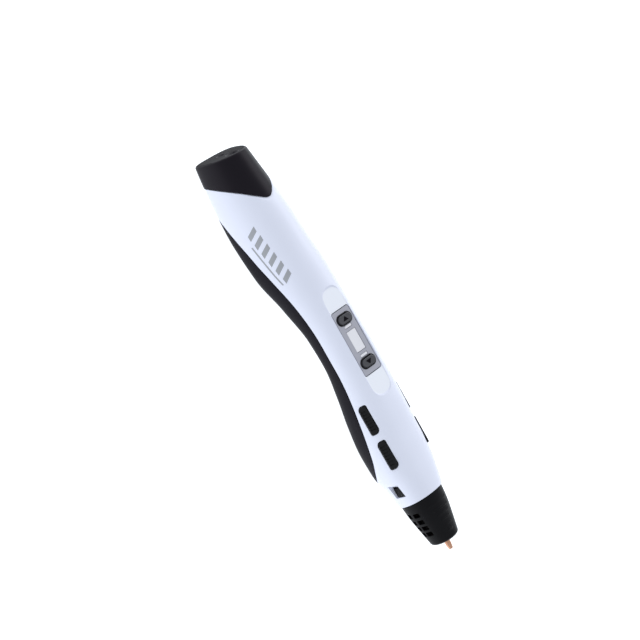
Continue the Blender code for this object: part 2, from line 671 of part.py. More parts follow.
def make_feed_screw():
    """The grooved screw on the output shaft: its ridges walk the filament forward as it turns."""
    ridges = 6
    pitch = (SCREW_X[1] - SCREW_X[0]) / ridges
    root = SCREW_RADIUS - 0.5
    profile = [(-49.5, SHAFT_RADIUS), (SCREW_X[0], SHAFT_RADIUS)]
    for i in range(ridges):
        x = SCREW_X[0] + i * pitch
        profile += [(x + 0.1, root), (x + pitch / 2, SCREW_RADIUS), (x + pitch - 0.1, root)]
    profile += [(SCREW_X[1], SHAFT_RADIUS), (-32.6, SHAFT_RADIUS)]
    bm = bmesh.new()
    loft(bm, [circle((x, 0, OUTPUT_Z), radius, X_AXIS, 16) for x, radius in profile])
    screw = add_object("feed_screw", bm, BRASS, (SCREW_X[0], 0, OUTPUT_Z))
    boolean(screw, cutter_box("screw_flat", (-52, -3, OUTPUT_Z + 1.0), (-46.8, 3, 6)))


def make_feed_frame():
    bm = bmesh.new()
    box(bm, (FRAME_X[0], -6.0, -7.0), (FRAME_X[1], 6.0, 5.0))
    frame = add_object("feed_frame", bm, NYLON)
    boolean(frame, cutter_box("frame_well", (-45.7, -4.6, -12.0), (-34.4, 4.6, 12.0)))
    boolean(frame, cutter_box("arm_heel_room", (-50.0, -3.5, -12.0), (-45.0, 3.5, -6.5)))
    boolean(frame, cutter_rod("frame_shaft_way", (-48, 0, OUTPUT_Z), (-30, 0, OUTPUT_Z),
                               SHAFT_RADIUS + GAP, 20))
    boolean(frame, cutter_rod("frame_filament_way", (-48, 0, FEED_Z), (-30, 0, FEED_Z), 1.0, 16))
    for side in (-1, 1):
        low, high = sorted((side * 4.6, side * 6.0))
        lug = cutter_box("pin_lug_%d" % side, (PIVOT_X, low, -9.9), (PIVOT_X + 3.2, high, -6.5))
        boolean(frame, lug, "UNION")
    boolean(frame, cutter_rod("frame_pin_way", (IDLER_PIN_X, -8, PIVOT_Z), (IDLER_PIN_X, 8, PIVOT_Z),
                              PIN_WAY, 16))


def make_idler():
    """The sprung arm that presses the filament against the screw, with its roller, axle and pin."""
    bm = bmesh.new()
    rod(bm, (IDLER_PIN_X, -5.8, PIVOT_Z), (IDLER_PIN_X, 5.8, PIVOT_Z), PIN_WAY - GAP, 14)
    add_object("idler_pin", bm, STEEL)
    bm = bmesh.new()
    box(bm, (IDLER_PIN_X - 1.4, -3.0, -9.7), (-36.6, 3.0, -7.0))
    arm = add_object("idler_arm", bm, NYLON, (IDLER_PIN_X, 0, PIVOT_Z))
    boolean(arm, cutter_box("arm_fork", (-52, -2.1, -12), (-38.0, 2.1, -4)))
    boolean(arm, cutter_rod("arm_pin_way", (IDLER_PIN_X, -8, PIVOT_Z), (IDLER_PIN_X, 8, PIVOT_Z),
                            PIN_WAY, 16))
    boolean(arm, cutter_rod("arm_axle_way", (ROLLER_X, -8, ROLLER_Z), (ROLLER_X, 8, ROLLER_Z),
                            AXLE_RADIUS + 0.05, 16))
    bm = bmesh.new()
    rod(bm, (ROLLER_X, -3.2, ROLLER_Z), (ROLLER_X, 3.2, ROLLER_Z), AXLE_RADIUS, 16)
    add_object("idler_axle", bm, STEEL)
    half = 1.75
    profile = [(-half, ROLLER_RADIUS), (-0.9, ROLLER_RADIUS), (0.0, ROLLER_RADIUS - 0.5),
               (0.9, ROLLER_RADIUS), (half, ROLLER_RADIUS)]
    bm = bmesh.new()
    loft(bm, [circle((ROLLER_X, y, ROLLER_Z), radius, Y_AXIS, 24) for y, radius in profile])
    roller = add_object("idler_roller", bm, STEEL, (ROLLER_X, 0, ROLLER_Z))
    boolean(roller, cutter_rod("roller_bore", (ROLLER_X, -5, ROLLER_Z), (ROLLER_X, 5, ROLLER_Z),
                               AXLE_RADIUS + GAP, 16))
    make_spring()


def make_spring():
    """The torsion spring wound on the idler's pin, one leg on the frame and one under the arm."""
    radius, wire, turns, steps = 1.15, 0.18, 4, 8
    points = []
    for i in range(turns * steps + 1):
        angle = 2 * math.pi * i / steps
        points.append((IDLER_PIN_X + radius * math.cos(angle), -1.1 + 2.2 * i / (turns * steps),
                       PIVOT_Z + radius * math.sin(angle)))
    add_wire("idler_spring", points, wire, STEEL)


# ---------------------------------------------------------------- hot end
def make_hot_end():
    bm = bmesh.new()
    box(bm, (HOLDER_X[0], -6.0, -8.6), (HOLDER_X[1], 6.0, 1.2))
    holder = add_object("hot_end_holder", bm, NYLON)
    boolean(holder, cutter_rod("holder_bore", (35, 0, 0), (55, 0, 0), 1.6 + GAP, 20))
    boolean(holder, cutter_rod("holder_seat", (44.5, 0, 0), (55, 0, 0), 3.0 + GAP, 24))
    boolean(holder, cutter_rod("holder_screw_way", (COVER_SCREW_X[1], 0, -12), (COVER_SCREW_X[1], 0, -4.5),
                               1.1, 16))
    nozzle = [(73.3, 0.35), (73.3, 1.7), (78.3, 1.7), (78.3, 3.0), (81.5, 3.0), (81.5, 2.2), (83.5, 2.2),
              (84.2, NOZZLE_RADIUS), (TIP_X - 2.2, NOZZLE_RADIUS), (TIP_X - 0.3, 0.95), (TIP_X, 0.75),
              (TIP_X, 0.35)]
    heater = [(64.3, 1.2), (64.3, 3.1), (78.0, 3.1), (78.0, 2.0), (73.0, 2.0), (73.0, 1.2)]
    heat_break = [(44.8, 1.1), (44.8, 3.0), (47.6, 3.0), (47.6, 1.5), (64.0, 1.5), (64.0, 1.1)]
    turned_parts = {
        "heat_break": (STEEL, heat_break),
        "insulator": (CERAMIC, [(49.0, 1.8), (49.0, 4.2), (61.0, 4.2), (61.0, 1.8)]),
        "ceramic_heater": (CERAMIC, heater),
        "nozzle": (COPPER, nozzle),
    }
    for name, (spec, profile) in turned_parts.items():
        bm = bmesh.new()
        turned(bm, profile, 0.0, 24)
        add_object(name, bm, spec)
    bm = bmesh.new()
    rod(bm, (66.0, 3.9, 0), (70.0, 3.9, 0), 0.5, 12)
    add_object("thermistor", bm, CHIP)


def make_nozzle_cover():
    """A vented cone with a sleeve that snaps into the shell's two windows."""
    wall = 1.3
    bm = bmesh.new()
    outer = [(COVER_X[0], 7.3), (SHELL_END - 0.4, 7.3), (SHELL_END + GAP, 7.3), (SHELL_END + GAP, 9.1),
             (70.0, 8.65), (75.0, 7.85), (83.4, 6.3), (84.6, 5.8), (COVER_X[1], 4.9)]
    inner = [(COVER_X[1], 2.0), (COVER_X[1] - wall, 2.0), (COVER_X[1] - wall, 4.4), (75.0, 6.2),
             (66.5, 6.1), (COVER_X[0], 6.1)]
    turned(bm, outer + inner, 0.0, 30)
    for vert in bm.verts:
        share = min(1.0, max(0.0, (70.0 - vert.co.x) / 4))
        vert.co.x -= SEAM_SLANT * share * (vert.co.z - SEAM_LOW)
    cover = add_object("nozzle_cover", bm, BLACK)
    for side in (-1, 1):
        low, high = sorted((side * 6.6, side * TAB_FACE))
        tab = cutter_box("snap_tab_%d" % side, (WINDOW_X[0] + WINDOW_SLOPE + 0.4, low, WINDOW_Z[0] + 0.4),
                         (WINDOW_X[1] - 0.4, high, WINDOW_Z[1] - 0.4))
        boolean(cover, tab, "UNION")
        for tilt in (VENT_ANGLE, -VENT_ANGLE):
            out = Vector((0, side * math.cos(tilt), math.sin(tilt)))
            across = X_AXIS.cross(out)
            for i, x in enumerate(VENT_X):
                bm = bmesh.new()
                half_x, half_y = VENT_SIZE[0] / 2, VENT_SIZE[1] / 2
                outline = [X_AXIS * (x + u) + across * v for u, v in
                           ((-half_x, -half_y), (half_x, -half_y), (half_x, half_y), (-half_x, half_y))]
                prism(bm, outline, out * 4.0, out * 11.0)
                boolean(cover, add_object("vent_%d_%d_%d" % (side, tilt > 0, i), bm))


# ---------------------------------------------------------------- tubes and wires
def add_wire(name, points, radius, spec, bevel_resolution=2):
    """A round wire or tube with filled ends along the given points."""
    curve = bpy.data.curves.new(name, "CURVE")
    curve.dimensions = "3D"
    curve.bevel_depth = radius * MM
    curve.bevel_resolution = bevel_resolution
    curve.use_fill_caps = True
    spline = curve.splines.new("POLY")
    spline.points.add(len(points) - 1)
    for point, place in zip(spline.points, points):
        point.co = (*(Vector(place) * MM), 1.0)
    curve.materials.append(material(spec))
    made = bpy.data.objects.new(name, curve)
    made.parent = pen_axis
    parts.objects.link(made)


def make_lines():
    add_wire("guide_tube", smooth_line(GUIDE_ROUTE, 4.0), GUIDE_RADIUS, PTFE)
    for name, route in WIRES.items():
        mirrored = [(x, -y, z) for x, y, z in route]
        add_wire(name, smooth_line(route, 4.0), WIRE_RADIUS, RED)
        add_wire(name.replace("red", "black"), smooth_line(mirrored, 4.0), WIRE_RADIUS, DARK)


# ---------------------------------------------------------------- the pen
clear_scene()
parts = new_collection("three_d_pen")
cutters = new_collection("cutters")
cutters.hide_render = True
pen_axis = bpy.data.objects.new("pen_axis", None)
parts.objects.link(pen_axis)
pen_axis.rotation_euler = (0.0, LIE_ANGLE, 0.0)
pen_axis.location = (REST_SHIFT * MM, 0.0, REST_DEPTH * MM)

make_shells()
make_cover_screws()
make_display()
make_display_board()
for button_name, place, hand in (("feed_button", "rear", -1), ("retract_button", "front", -1),
                                 ("speed_up_button", "rear", 1), ("speed_down_button", "front", 1)):
    make_side_button(button_name, place, hand)
make_side_switches(-1, "left")
make_side_switches(1, "right")
make_control_board()
make_inlets()
make_motor()
make_feed_screw()
make_feed_frame()
make_idler()
make_hot_end()
make_nozzle_cover()
make_lines()
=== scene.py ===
"""The looks of the 3D pen: its shells, keys, display, cone and nozzle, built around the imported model.

Lengths are in millimetres in the pen's own frame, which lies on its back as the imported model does:
X runs along the nozzle axis to the tip, Z out of the display, Y = 0 is the plane of symmetry.
"""
import json
import math

import bmesh
import bpy
from mathutils import Matrix, Vector


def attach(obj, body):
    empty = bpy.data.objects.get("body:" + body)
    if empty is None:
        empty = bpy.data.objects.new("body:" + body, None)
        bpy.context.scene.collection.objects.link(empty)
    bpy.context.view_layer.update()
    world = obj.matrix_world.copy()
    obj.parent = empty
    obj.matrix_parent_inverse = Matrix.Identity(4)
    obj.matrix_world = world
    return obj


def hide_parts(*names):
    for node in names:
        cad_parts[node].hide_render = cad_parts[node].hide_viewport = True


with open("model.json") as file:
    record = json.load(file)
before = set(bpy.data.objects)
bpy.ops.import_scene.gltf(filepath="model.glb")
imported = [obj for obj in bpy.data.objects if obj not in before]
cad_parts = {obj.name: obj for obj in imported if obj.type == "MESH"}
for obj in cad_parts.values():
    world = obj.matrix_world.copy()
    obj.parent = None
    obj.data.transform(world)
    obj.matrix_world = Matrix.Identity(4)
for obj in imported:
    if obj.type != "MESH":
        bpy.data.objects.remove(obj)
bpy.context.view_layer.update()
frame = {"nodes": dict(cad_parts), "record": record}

MM = 0.001
GAP = 0.3                # the clearance between fitted pieces
HOUSING = "housing"      # the body on which everything that doesn't move rides

# ---- where the pen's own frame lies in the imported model's
LIE_ANGLE = math.atan2(2.54, 106.0)
REST_SHIFT = -0.05
REST_DEPTH = 13.55
PEN = Matrix.Translation((REST_SHIFT * MM, 0, REST_DEPTH * MM)) @ Matrix.Rotation(LIE_ANGLE, 4, "Y")

# ---- the body's form: station X, half width, level of the widest line, depth in front of it and
# behind it, roundness of both
STATIONS = [
    (-90.0, 9.6, -7.6, 13.9, 6.0, 2.0, 2.6),
    (-82.0, 10.7, -7.6, 15.1, 6.6, 2.0, 2.6),
    (-70.0, 12.0, -7.2, 16.4, 7.8, 2.0, 2.6),
    (-55.0, 12.8, -6.4, 17.6, 8.6, 2.0, 2.6),
    (-40.0, 12.8, -4.4, 17.2, 8.7, 2.05, 2.6),
    (-25.0, 11.7, 0.0, 13.8, 8.7, 2.1, 2.5),
    (-10.0, 10.7, 2.4, 11.9, 7.3, 2.2, 2.4),
    (2.0, 10.6, 3.1, 11.2, 7.8, 2.3, 2.4),
    (15.0, 11.2, 2.1, 11.8, 9.3, 2.3, 2.4),
    (28.0, 12.1, 0.7, 12.4, 11.2, 2.3, 2.4),
    (40.0, 12.5, -0.2, 12.4, 12.2, 2.3, 2.4),
    (50.0, 12.1, -0.2, 11.6, 12.4, 2.3, 2.4),
    (57.0, 10.8, 0.0, 10.9, 10.9, 2.3, 2.3),
    (66.0, 9.4, 0.0, 9.5, 9.3, 2.2, 2.2),
]
FINE_STEP, FINE_SIDES = 1.6, 128       # the outer surface's sections: their spacing, and points in each
COARSE_STEP, COARSE_SIDES = 4.0, 48    # the same for the inner surface
WALL = 1.6
SHELL_END = 65.5
CAP_END = -87.4
END_SLANT = 0.17         # how far the cap's end face leans forward per mm of z
SLANT_FADE = 25.0        # the length over which that lean fades out
END_ROUND = 0.8
END_ROUND_STEPS = 6
CAP_FLOOR = 1.9
SEAM_SLANT = 0.09        # how far the front seam leans back per mm of z, from its lowest point up
SEAM_LOW = -5.2
SEAM_FADE = 12.0
EDGE_ROUND = 0.16        # rounding of the shells' cut edges
EVEN_SAMPLES = 4         # samples per point when a section's points are spaced evenly
BEYOND_LOW, BEYOND_HIGH, BEYOND_REAR, BEYOND_SIDE = -30.0, 24.0, -110.0, 18.0    # clear of the body

COVER_ARCH = [(-70.2, -17.0), (-68.2, -12.4), (-65.2, -9.4), (-54.0, -4.9), (-45.0, -1.9), (-36.0, 1.3),
              (-24.5, 4.3), (-12.0, 5.7), (0.0, 5.9), (12.5, 5.8), (28.0, 4.0), (41.0, 1.0), (48.0, -2.6),
              (51.5, -5.5), (54.0, -9.5), (55.5, -17.0)]
CAP_SEAM = [(-60.6, 11.6), (-65.9, 9.5), (-68.7, 7.9), (-72.1, 4.8), (-75.7, -0.5), (-79.3, -8.0),
            (-82.4, -17.5)]
SEAM_STEP = 1.2

DISPLAY_Z = 13.0
POCKET_X = (-25.7, 20.9)
POCKET_WIDTH = 10.5
POCKET_ROUND = 0.44      # the corners' radius, as a share of the width
# the pocket's wall, as how far it stands outside the outline and how high above the land
POCKET_WALL = [(-0.9, 0.0), (-0.6, 0.03), (-0.35, 0.12), (-0.1, 0.32), (0.1, 0.6), (0.3, 1.0),
               (0.55, 1.6), (0.85, 2.4), (1.2, 3.4), (1.2, 7.0)]
POCKET_CORNER_STEPS = 24
# the faces of the pocket's land that are painted brighter, as painted light
PAINTED_LIGHT_LAND = (0.02, 0.99)      # the land's faces: how far off its level, and least upward normal
PANEL_X = (-16.0, 11.1)
PANEL_WIDTH = 9.0
PANEL_CORNER = 0.8
PANEL_THICK = 1.2
PANEL_EDGE = [(-0.12, 0.0), (-0.03, -0.05), (0.0, -0.16)]      # rounding: height from the face, growth
PANEL_CUT = (5.0, 20.0)  # levels between which the cutters for the panel and its openings reach
LCD_X = (-7.15, 1.85)
LCD_WIDTH = 4.9
LAMP_X = {"lamp_window_rear": -8.9, "lamp_window_front": 3.6}
LAMP_SIZE = (1.3, 3.7)
LENS_GAP, LENS_SUNK = 0.15, 0.1        # a lens's clearance, and how far it lies below the panel's face
PILL_X = {"temp_up_button": -12.0, "temp_down_button": 6.75}
PILL_SIZE = (4.0, 7.3)
PILL_PROUD = 0.8
PILL_FLANGE = (0.5, 0.9)               # how far the flange under the panel stands out, and its thickness
PILL_EDGE = [(-0.25, 0.0), (-0.08, -0.07), (0.0, -0.25), (0.0, -0.5), (-0.06, -0.9)]      # as PANEL_EDGE
# painted shade: a black ring on the panel round each key's hole, standing for the shaded gap; its growth
# and height
GAP_SHADE_PROFILE = [(0.34, -0.05), (0.34, 0.07), (0.26, 0.12), (0.06, 0.12), (0.01, 0.06), (0.01, -0.05)]
ARROW_BASE, ARROW_HALF, ARROW_TIP = 0.75, 1.3, -0.95
ARROW_FROM, ARROW_PROUD = -0.3, 0.12   # the arrow's levels, from the key's top

SIDE_X = {"rear": 26.5, "front": 42.0}
SIDE_LEVEL = {"rear": (10.23, 8.44), "front": (10.0, 8.0)}
SIDE_TILT = math.radians(36.0)
SIDE_SIZE = (12.0, 3.5)
SIDE_ROUND = 1.9
SIDE_CORNER = 0.5
SIDE_PROUD = {"rear": 0.1, "front": 0.35}
SIDE_EDGE = [(0.4, 0.0), (0.15, -0.1), (0.04, -0.25), (0.0, -0.45)]    # rounding: depth, growth
FLANGE_DEPTH = 3.1
FLANGE_THICK = 0.8
FLANGE_REACH = 0.7
GROOVES, GROOVE_PITCH = 7, 1.3
GROOVE_WIDTH, GROOVE_LENGTH, GROOVE_DEPTH = 0.6, 2.1, 0.35
SIDE_KEYS = {                          # piece: body, station, side
    "feed_button": ("feed_key", "rear", -1),
    "retract_button": ("retract_key", "front", -1),
    "speed_up_button": ("speed_up_key", "rear", 1),
    "speed_down_button": ("speed_down_key", "front", 1),
}

INLETS = {"jack": (2.6, 2.3), "filament": (-4.8, 1.4)}     # in the cap's end: level and radius
FUNNEL_DEPTH, FUNNEL_FLARE = 1.0, 1.5
# the faces of the cap's end that are painted darker, as painted shade
SHADED_END_FACE_REACH = (4.5, -0.9)           # the end face's faces: how far from CAP_END, and most forward normal
COVER_SCREW_X = (-54.5, 44.0)
SCREW_WAY, SCREW_HEAD_WAY, SCREW_SEAT = 1.2, 2.3, 1.1      # two radii, and the seat's height

CONE_X = (53.5, 85.2)
CONE_LINE = [(66.0, 9.06), (67.0, 8.97), (69.0, 8.78), (71.0, 8.55), (73.0, 8.25), (75.0, 7.9),
             (83.7, 6.25)]
CONE_RINGS = [67.0, 82.6, 83.2, 83.7]  # where the cone has rings apart from those of its ribs
CONE_SPIGOT = 7.3
CONE_HOLLOW = 6.3        # the hollow's rings are nearer to the axis than this, and the ribs' rings further
NOSE_ROUND, NOSE_FLAT, NOSE_STEPS = 1.5, 4.75, 6
LEAN_FROM, LEAN_FADE = 70.0, 4.0       # the cone's rear edge leans as the shell's seam does, fading from X
# raised ribs on the cone's crown: where each is, and how many degrees it reaches to either side
CONE_RIBS = [(69.0, 34.0), (71.4, 29.0), (73.8, 24.0), (76.2, 19.0), (78.6, 14.0), (81.0, 9.0)]
RIB_FOOT, RIB_TOP = 0.45, 0.25         # half of a rib's length at its foot and at its top
RIB_HEIGHT = 0.2
TIP_X = 90.0
NOZZLE_RADIUS = 1.2
WINDOW_X = (54.6, 60.5)
WINDOW_Z = (-1.0, 4.2)
WINDOW_SLOPE = 1.5
WINDOW_OUT, WINDOW_EDGE, WINDOW_LEDGE, WINDOW_IN = 15.0, 10.9, 9.0, 7.0     # its cutter's corners in Y
TAB_ROOT, TAB_FACE, TAB_GAP = 6.6, 9.6, 0.4
VENT_X = (70.0, 73.2, 76.2, 79.2)
VENT_ANGLE = math.radians(14.5)
VENT_SIZE = (2.0, 3.0)
VENT_CORNER = 0.3
VENT_CUT = (4.0, 11.0)   # how far from the axis a vent's cutter starts and ends

# ---- the printed mark: six slanted bars, placed by station and by angle round the body, and a rule
BARS, BAR_START, BAR_PITCH, BAR_LENGTH, BAR_SLANT = 6, -58.0, 4.0, 2.2, 2.6
BAR_ANGLE, BAR_TURN, BAR_REACH = 147.5, 1.8, 16.0
RULE_X, RULE_ANGLES, RULE_REACH = (-52.3, -34.5), (159.5, 152.5), 2.4
INK_PROUD, INK_ROOT, PRINT_ROWS, PRINT_STEP = 0.03, 0.15, 8, 0.8

# ---- camera
CAMERA_ROUND = math.radians(35.0)     # turned about the pen's axis from straight above the display
CAMERA_TILT = math.radians(7.5)       # leaning towards the cap
CAMERA_ROLL = math.radians(60.56)     # the pen's axis in the picture, below the horizontal
CAMERA_DISTANCE = 600.0
CAMERA_LENS = 87.2
CAMERA_SENSOR = 36.0
CAMERA_CLIP = (0.01, 20.0)
AIM_OFFSET = (7.87, -12.35)           # the pen's middle in the picture, right and up of the centre

# ---- studio, in metres and watts
WORLD_COLOUR, WORLD_STRENGTH = (0.91, 0.955, 1.0), 0.77
SOFTBOX_AT, SOFTBOX_AIM, SOFTBOX_SIZE = (-0.45, 1.05, 0.75), (0, 0, 0.01), (1.4, 0.8)
SOFTBOX_WATTS, SOFTBOX_COLOUR = 6.6, (0.97, 0.98, 1.0)
FLOOR_SIZE, FLOOR_CELLS = 8.0, 8
FLOOR_COLOURS = ((0.45, 0.45, 0.455), (0.455, 0.455, 0.46))
FLOOR_ROUGHNESS = 0.85
FLOOR_GLOW, FLOOR_GLOW_STRENGTH = (0.92, 0.96, 1.0), 1.08     # keeps the paper white, as in the photo

X_AXIS = Vector((1, 0, 0))
Y_AXIS = Vector((0, 1, 0))
Z_AXIS = Vector((0, 0, 1))


# ---------------------------------------------------------------- materials
NOISE_LOW, NOISE_HIGH = 0.3, 0.7      # nearly all of a noise's values lie between these
VIOLET = (0.97, 0.89, 1.0)            # the tint of the sheen on the black plastic


def node_material(name, colour, roughness, metallic=0.0, specular=0.5, coat=0.0, tint=(1, 1, 1)):
    """A new material with its node tree and its shader, whose even values are set on its own sockets."""
    made = bpy.data.materials.new(name)
    made.use_nodes = True
    shader = made.node_tree.nodes["Principled BSDF"]
    shader.inputs["Specular Tint"].default_value = (*tint, 1.0)
    shader.inputs["Base Color"].default_value = (*colour, 1.0)
    shader.inputs["Roughness"].default_value = roughness
    shader.inputs["Metallic"].default_value = metallic
    shader.inputs["Specular IOR Level"].default_value = specular
    shader.inputs["Coat Weight"].default_value = coat
    return made, made.node_tree, shader


def add_noise(tree, scale, detail=3.0, stretch=(1, 1, 1)):
    """A noise over the object's own coordinates; scale is in waves per metre."""
    coordinates = tree.nodes.new("ShaderNodeTexCoord")
    mapping = tree.nodes.new("ShaderNodeMapping")
    mapping.inputs["Scale"].default_value = stretch
    texture = tree.nodes.new("ShaderNodeTexNoise")
    texture.inputs["Scale"].default_value = scale
    texture.inputs["Detail"].default_value = detail
    tree.links.new(coordinates.outputs["Object"], mapping.inputs["Vector"])
    tree.links.new(mapping.outputs["Vector"], texture.inputs["Vector"])
    return texture.outputs["Fac"]


def vary_roughness(tree, shader, source, low, high):
    """Lets the roughness follow source, from low to high."""
    spread = tree.nodes.new("ShaderNodeMapRange")
    spread.inputs["From Min"].default_value = NOISE_LOW
    spread.inputs["From Max"].default_value = NOISE_HIGH
    spread.inputs["To Min"].default_value = low
    spread.inputs["To Max"].default_value = high
    tree.links.new(source, spread.inputs["Value"])
    tree.links.new(spread.outputs["Result"], shader.inputs["Roughness"])


def vary_colour(tree, shader, source, first, second):
    """Lets the colour follow source, from first to second."""
    ramp = tree.nodes.new("ShaderNodeValToRGB")
    stops = ((NOISE_LOW, first), (NOISE_HIGH, second))
    for element, (position, colour) in zip(ramp.color_ramp.elements, stops):
        element.position = position
        element.color = (*colour, 1.0)
    tree.links.new(source, ramp.inputs["Fac"])
    tree.links.new(ramp.outputs["Color"], shader.inputs["Base Color"])


def add_bump(tree, shader, source, strength, height):
    """Lets the surface's normal follow source; height is in metres."""
    bump = tree.nodes.new("ShaderNodeBump")
    bump.inputs["Strength"].default_value = strength
    bump.inputs["Distance"].default_value = height
    tree.links.new(source, bump.inputs["Height"])
    tree.links.new(bump.outputs["Normal"], shader.inputs["Normal"])


def plastic(name, colour, roughness, grain=2200.0, grain_depth=0.00001, shift=0.06, specular=0.5,
            coat=0.0, tint=(1, 1, 1)):
    """Moulded plastic: a fine spark-eroded grain, and slow changes in sheen and tone from handling."""
    made, tree, shader = node_material(name, colour, roughness, 0.0, specular, coat, tint)
    slow = add_noise(tree, 45.0, 4.0)
    vary_roughness(tree, shader, slow, roughness - shift, roughness + shift)
    tone = add_noise(tree, 20.0, 2.0)
    vary_colour(tree, shader, tone, colour, tuple(min(1.0, c * 1.04 + 0.002) for c in colour))
    add_bump(tree, shader, add_noise(tree, grain, 2.0), 0.35, grain_depth)
    return made


def metal(name, colour, roughness, stretch=(1, 1, 1), worn=None):
    """Turned or drawn metal: fine marks along its grain, and heat or wear tints."""
    made, tree, shader = node_material(name, colour, roughness, 1.0)
    marks = add_noise(tree, 1500.0, 4.0, stretch)
    vary_roughness(tree, shader, marks, roughness - 0.08, roughness + 0.12)
    worn = worn or tuple(c * 0.85 for c in colour)
    vary_colour(tree, shader, add_noise(tree, 260.0, 3.0), colour, worn)
    add_bump(tree, shader, marks, 0.3, 0.00002)
    return made


def lens_material():
    """The clear LCD lens: a pale, evenly lit layer under a smooth clear surface."""
    made, tree, shader = node_material("lcd_lens", (0.80, 0.79, 0.84), 0.12, 0.0, 0.5, 0.6)
    shader.inputs["Coat Roughness"].default_value = 0.03
    vary_colour(tree, shader, add_noise(tree, 90.0, 2.0), (0.80, 0.785, 0.83), (0.86, 0.85, 0.89))
    vary_roughness(tree, shader, add_noise(tree, 160.0, 2.0), 0.08, 0.16)
    return made


def make_materials():
    """Every finish, by the record's slots and by the other names that the pieces use."""
    return {
        "white_shell": plastic("white_abs", (0.80, 0.822, 0.945), 0.36, 2600.0, 0.000006, 0.05, 0.4),
        # the white plastic again, painted brighter on the pocket's land: painted light
        "white_land_painted_light": plastic("white_land_painted_light", (0.88, 0.90, 0.98), 0.30, 3200.0, 0.000004, 0.04, 0.4),
        "black_shell": plastic("black_abs", (0.004, 0.003, 0.0055),
                               0.40, 2400.0, 0.000012, 0.05, 0.17, tint=VIOLET),
        # a darker, duller black: painted shade on the cap's end face, and the real black of the keys'
        # arrows
        "black_arrows_and_shaded_face": plastic("black_arrows_and_shaded_face", (0.003, 0.002, 0.004),
                              0.60, 1600.0, 0.00002, 0.05, 0.06, tint=VIOLET),
        "black_cone": plastic("black_cone", (0.003, 0.0028, 0.0038), 0.44, 2000.0, 0.00002, 0.05, 0.11),
        "black_grip": plastic("black_grip", (0.004, 0.0035, 0.007),
                              0.50, 1800.0, 0.00002, 0.05, 0.10, tint=VIOLET),
        "black_keys": plastic("black_keys", (0.003, 0.003, 0.004), 0.38, 2600.0, 0.00001, 0.05, 0.20),
        "grey_panel": plastic("panel_silver", (0.40, 0.40, 0.455), 0.33, 3200.0, 0.000006, 0.04, 0.4),
        "grey_keys": plastic("key_grey", (0.045, 0.045, 0.052), 0.36, 2600.0, 0.00001, 0.05, 0.5),
        # black for the ring of painted shade round the panel keys' holes
        "gap_shade_black": plastic("gap_shade_black", (0.004, 0.004, 0.005), 0.5, 2600.0, 0.00001, 0.05, 0.4),
        "mark_grey": plastic("mark_grey", (0.36, 0.37, 0.40), 0.42, 2600.0, 0.000004, 0.04, 0.4),
        "clear_window": lens_material(),
        "lcd": plastic("lcd_white", (0.78, 0.77, 0.82), 0.3),
        "copper": metal("nozzle_copper", (0.66, 0.38, 0.26), 0.26, (14, 1, 1), (0.50, 0.25, 0.15)),
        "steel": metal("steel", (0.55, 0.56, 0.58), 0.28, (1, 8, 8)),
        "brass": metal("brass", (0.72, 0.54, 0.25), 0.28, (8, 1, 1)),
        "board": plastic("board_green", (0.02, 0.16, 0.07), 0.35, 900.0, 0.00002, 0.1, 0.5, 0.3),
        "chip": plastic("chip_epoxy", (0.018, 0.018, 0.02), 0.5, 1500.0, 0.00002),
        "ptfe": plastic("ptfe", (0.84, 0.85, 0.86), 0.35, 900.0, 0.00001),
        "ceramic": plastic("heater_wrap", (0.42, 0.16, 0.05), 0.32, 700.0, 0.00003, 0.08, 0.5, 0.2),
        "nylon": plastic("nylon", (0.20, 0.20, 0.22), 0.5, 900.0, 0.00003),
        "wire_red": plastic("wire_red", (0.5, 0.03, 0.03), 0.4, 500.0, 0.00002),
        "wire_black": plastic("wire_black", (0.02, 0.02, 0.02), 0.4, 500.0, 0.00002),
    }


# ---------------------------------------------------------------- making pieces
def add_object(name, bm, finish=None, sharp=40.0):
    """A piece from a bmesh in pen millimetres, laid where the pen lies; no finish makes a cutter."""
    bmesh.ops.transform(bm, matrix=PEN @ Matrix.Scale(MM, 4), verts=bm.verts)
    bmesh.ops.recalc_face_normals(bm, faces=bm.faces)
    mesh = bpy.data.meshes.new(name)
    bm.to_mesh(mesh)
    bm.free()
    mesh.shade_smooth()
    mesh.set_sharp_from_angle(angle=math.radians(sharp))
    made = bpy.data.objects.new(name, mesh)
    bpy.context.scene.collection.objects.link(made)
    if finish:
        mesh.materials.append(materials[finish])
    return made


def boolean(target, cutter, operation="DIFFERENCE"):
    """Gives a piece a cut, a join or an overlap that settle() applies; the cutter goes at the end."""
    modifier = target.modifiers.new(cutter.name, "BOOLEAN")
    modifier.operation = operation
    modifier.object = cutter
    modifier.solver = "EXACT"
    spent.append(cutter)


def settle(piece, edge=0.0, sharp=38.0, merge=0.05, segments=2):
    """Applies a piece's cuts, rounds its sharp edges by edge millimetres and shades it smooth."""
    graph = bpy.context.evaluated_depsgraph_get()
    mesh = bpy.data.meshes.new_from_object(piece.evaluated_get(graph))
    piece.modifiers.clear()
    bm = bmesh.new()
    bm.from_mesh(mesh)
    bmesh.ops.remove_doubles(bm, verts=bm.verts, dist=merge * MM)
    bmesh.ops.dissolve_degenerate(bm, edges=bm.edges, dist=0.01 * MM)
    if edge:
        limit = math.radians(sharp)
        chosen = [e for e in bm.edges if len(e.link_faces) == 2 and e.calc_face_angle(0.0) > limit]
        bmesh.ops.bevel(bm, geom=chosen, offset=edge * MM, segments=segments, profile=0.6, affect="EDGES",
                        clamp_overlap=True)
    bm.to_mesh(mesh)
    bm.free()
    finish = piece.data.materials[0]
    piece.data = mesh
    if not mesh.materials:
        mesh.materials.append(finish)
    mesh.shade_smooth()
    mesh.set_sharp_from_angle(angle=math.radians(40))
    evened = piece.modifiers.new("evened_normals", "WEIGHTED_NORMAL")
    evened.keep_sharp = True
    return piece


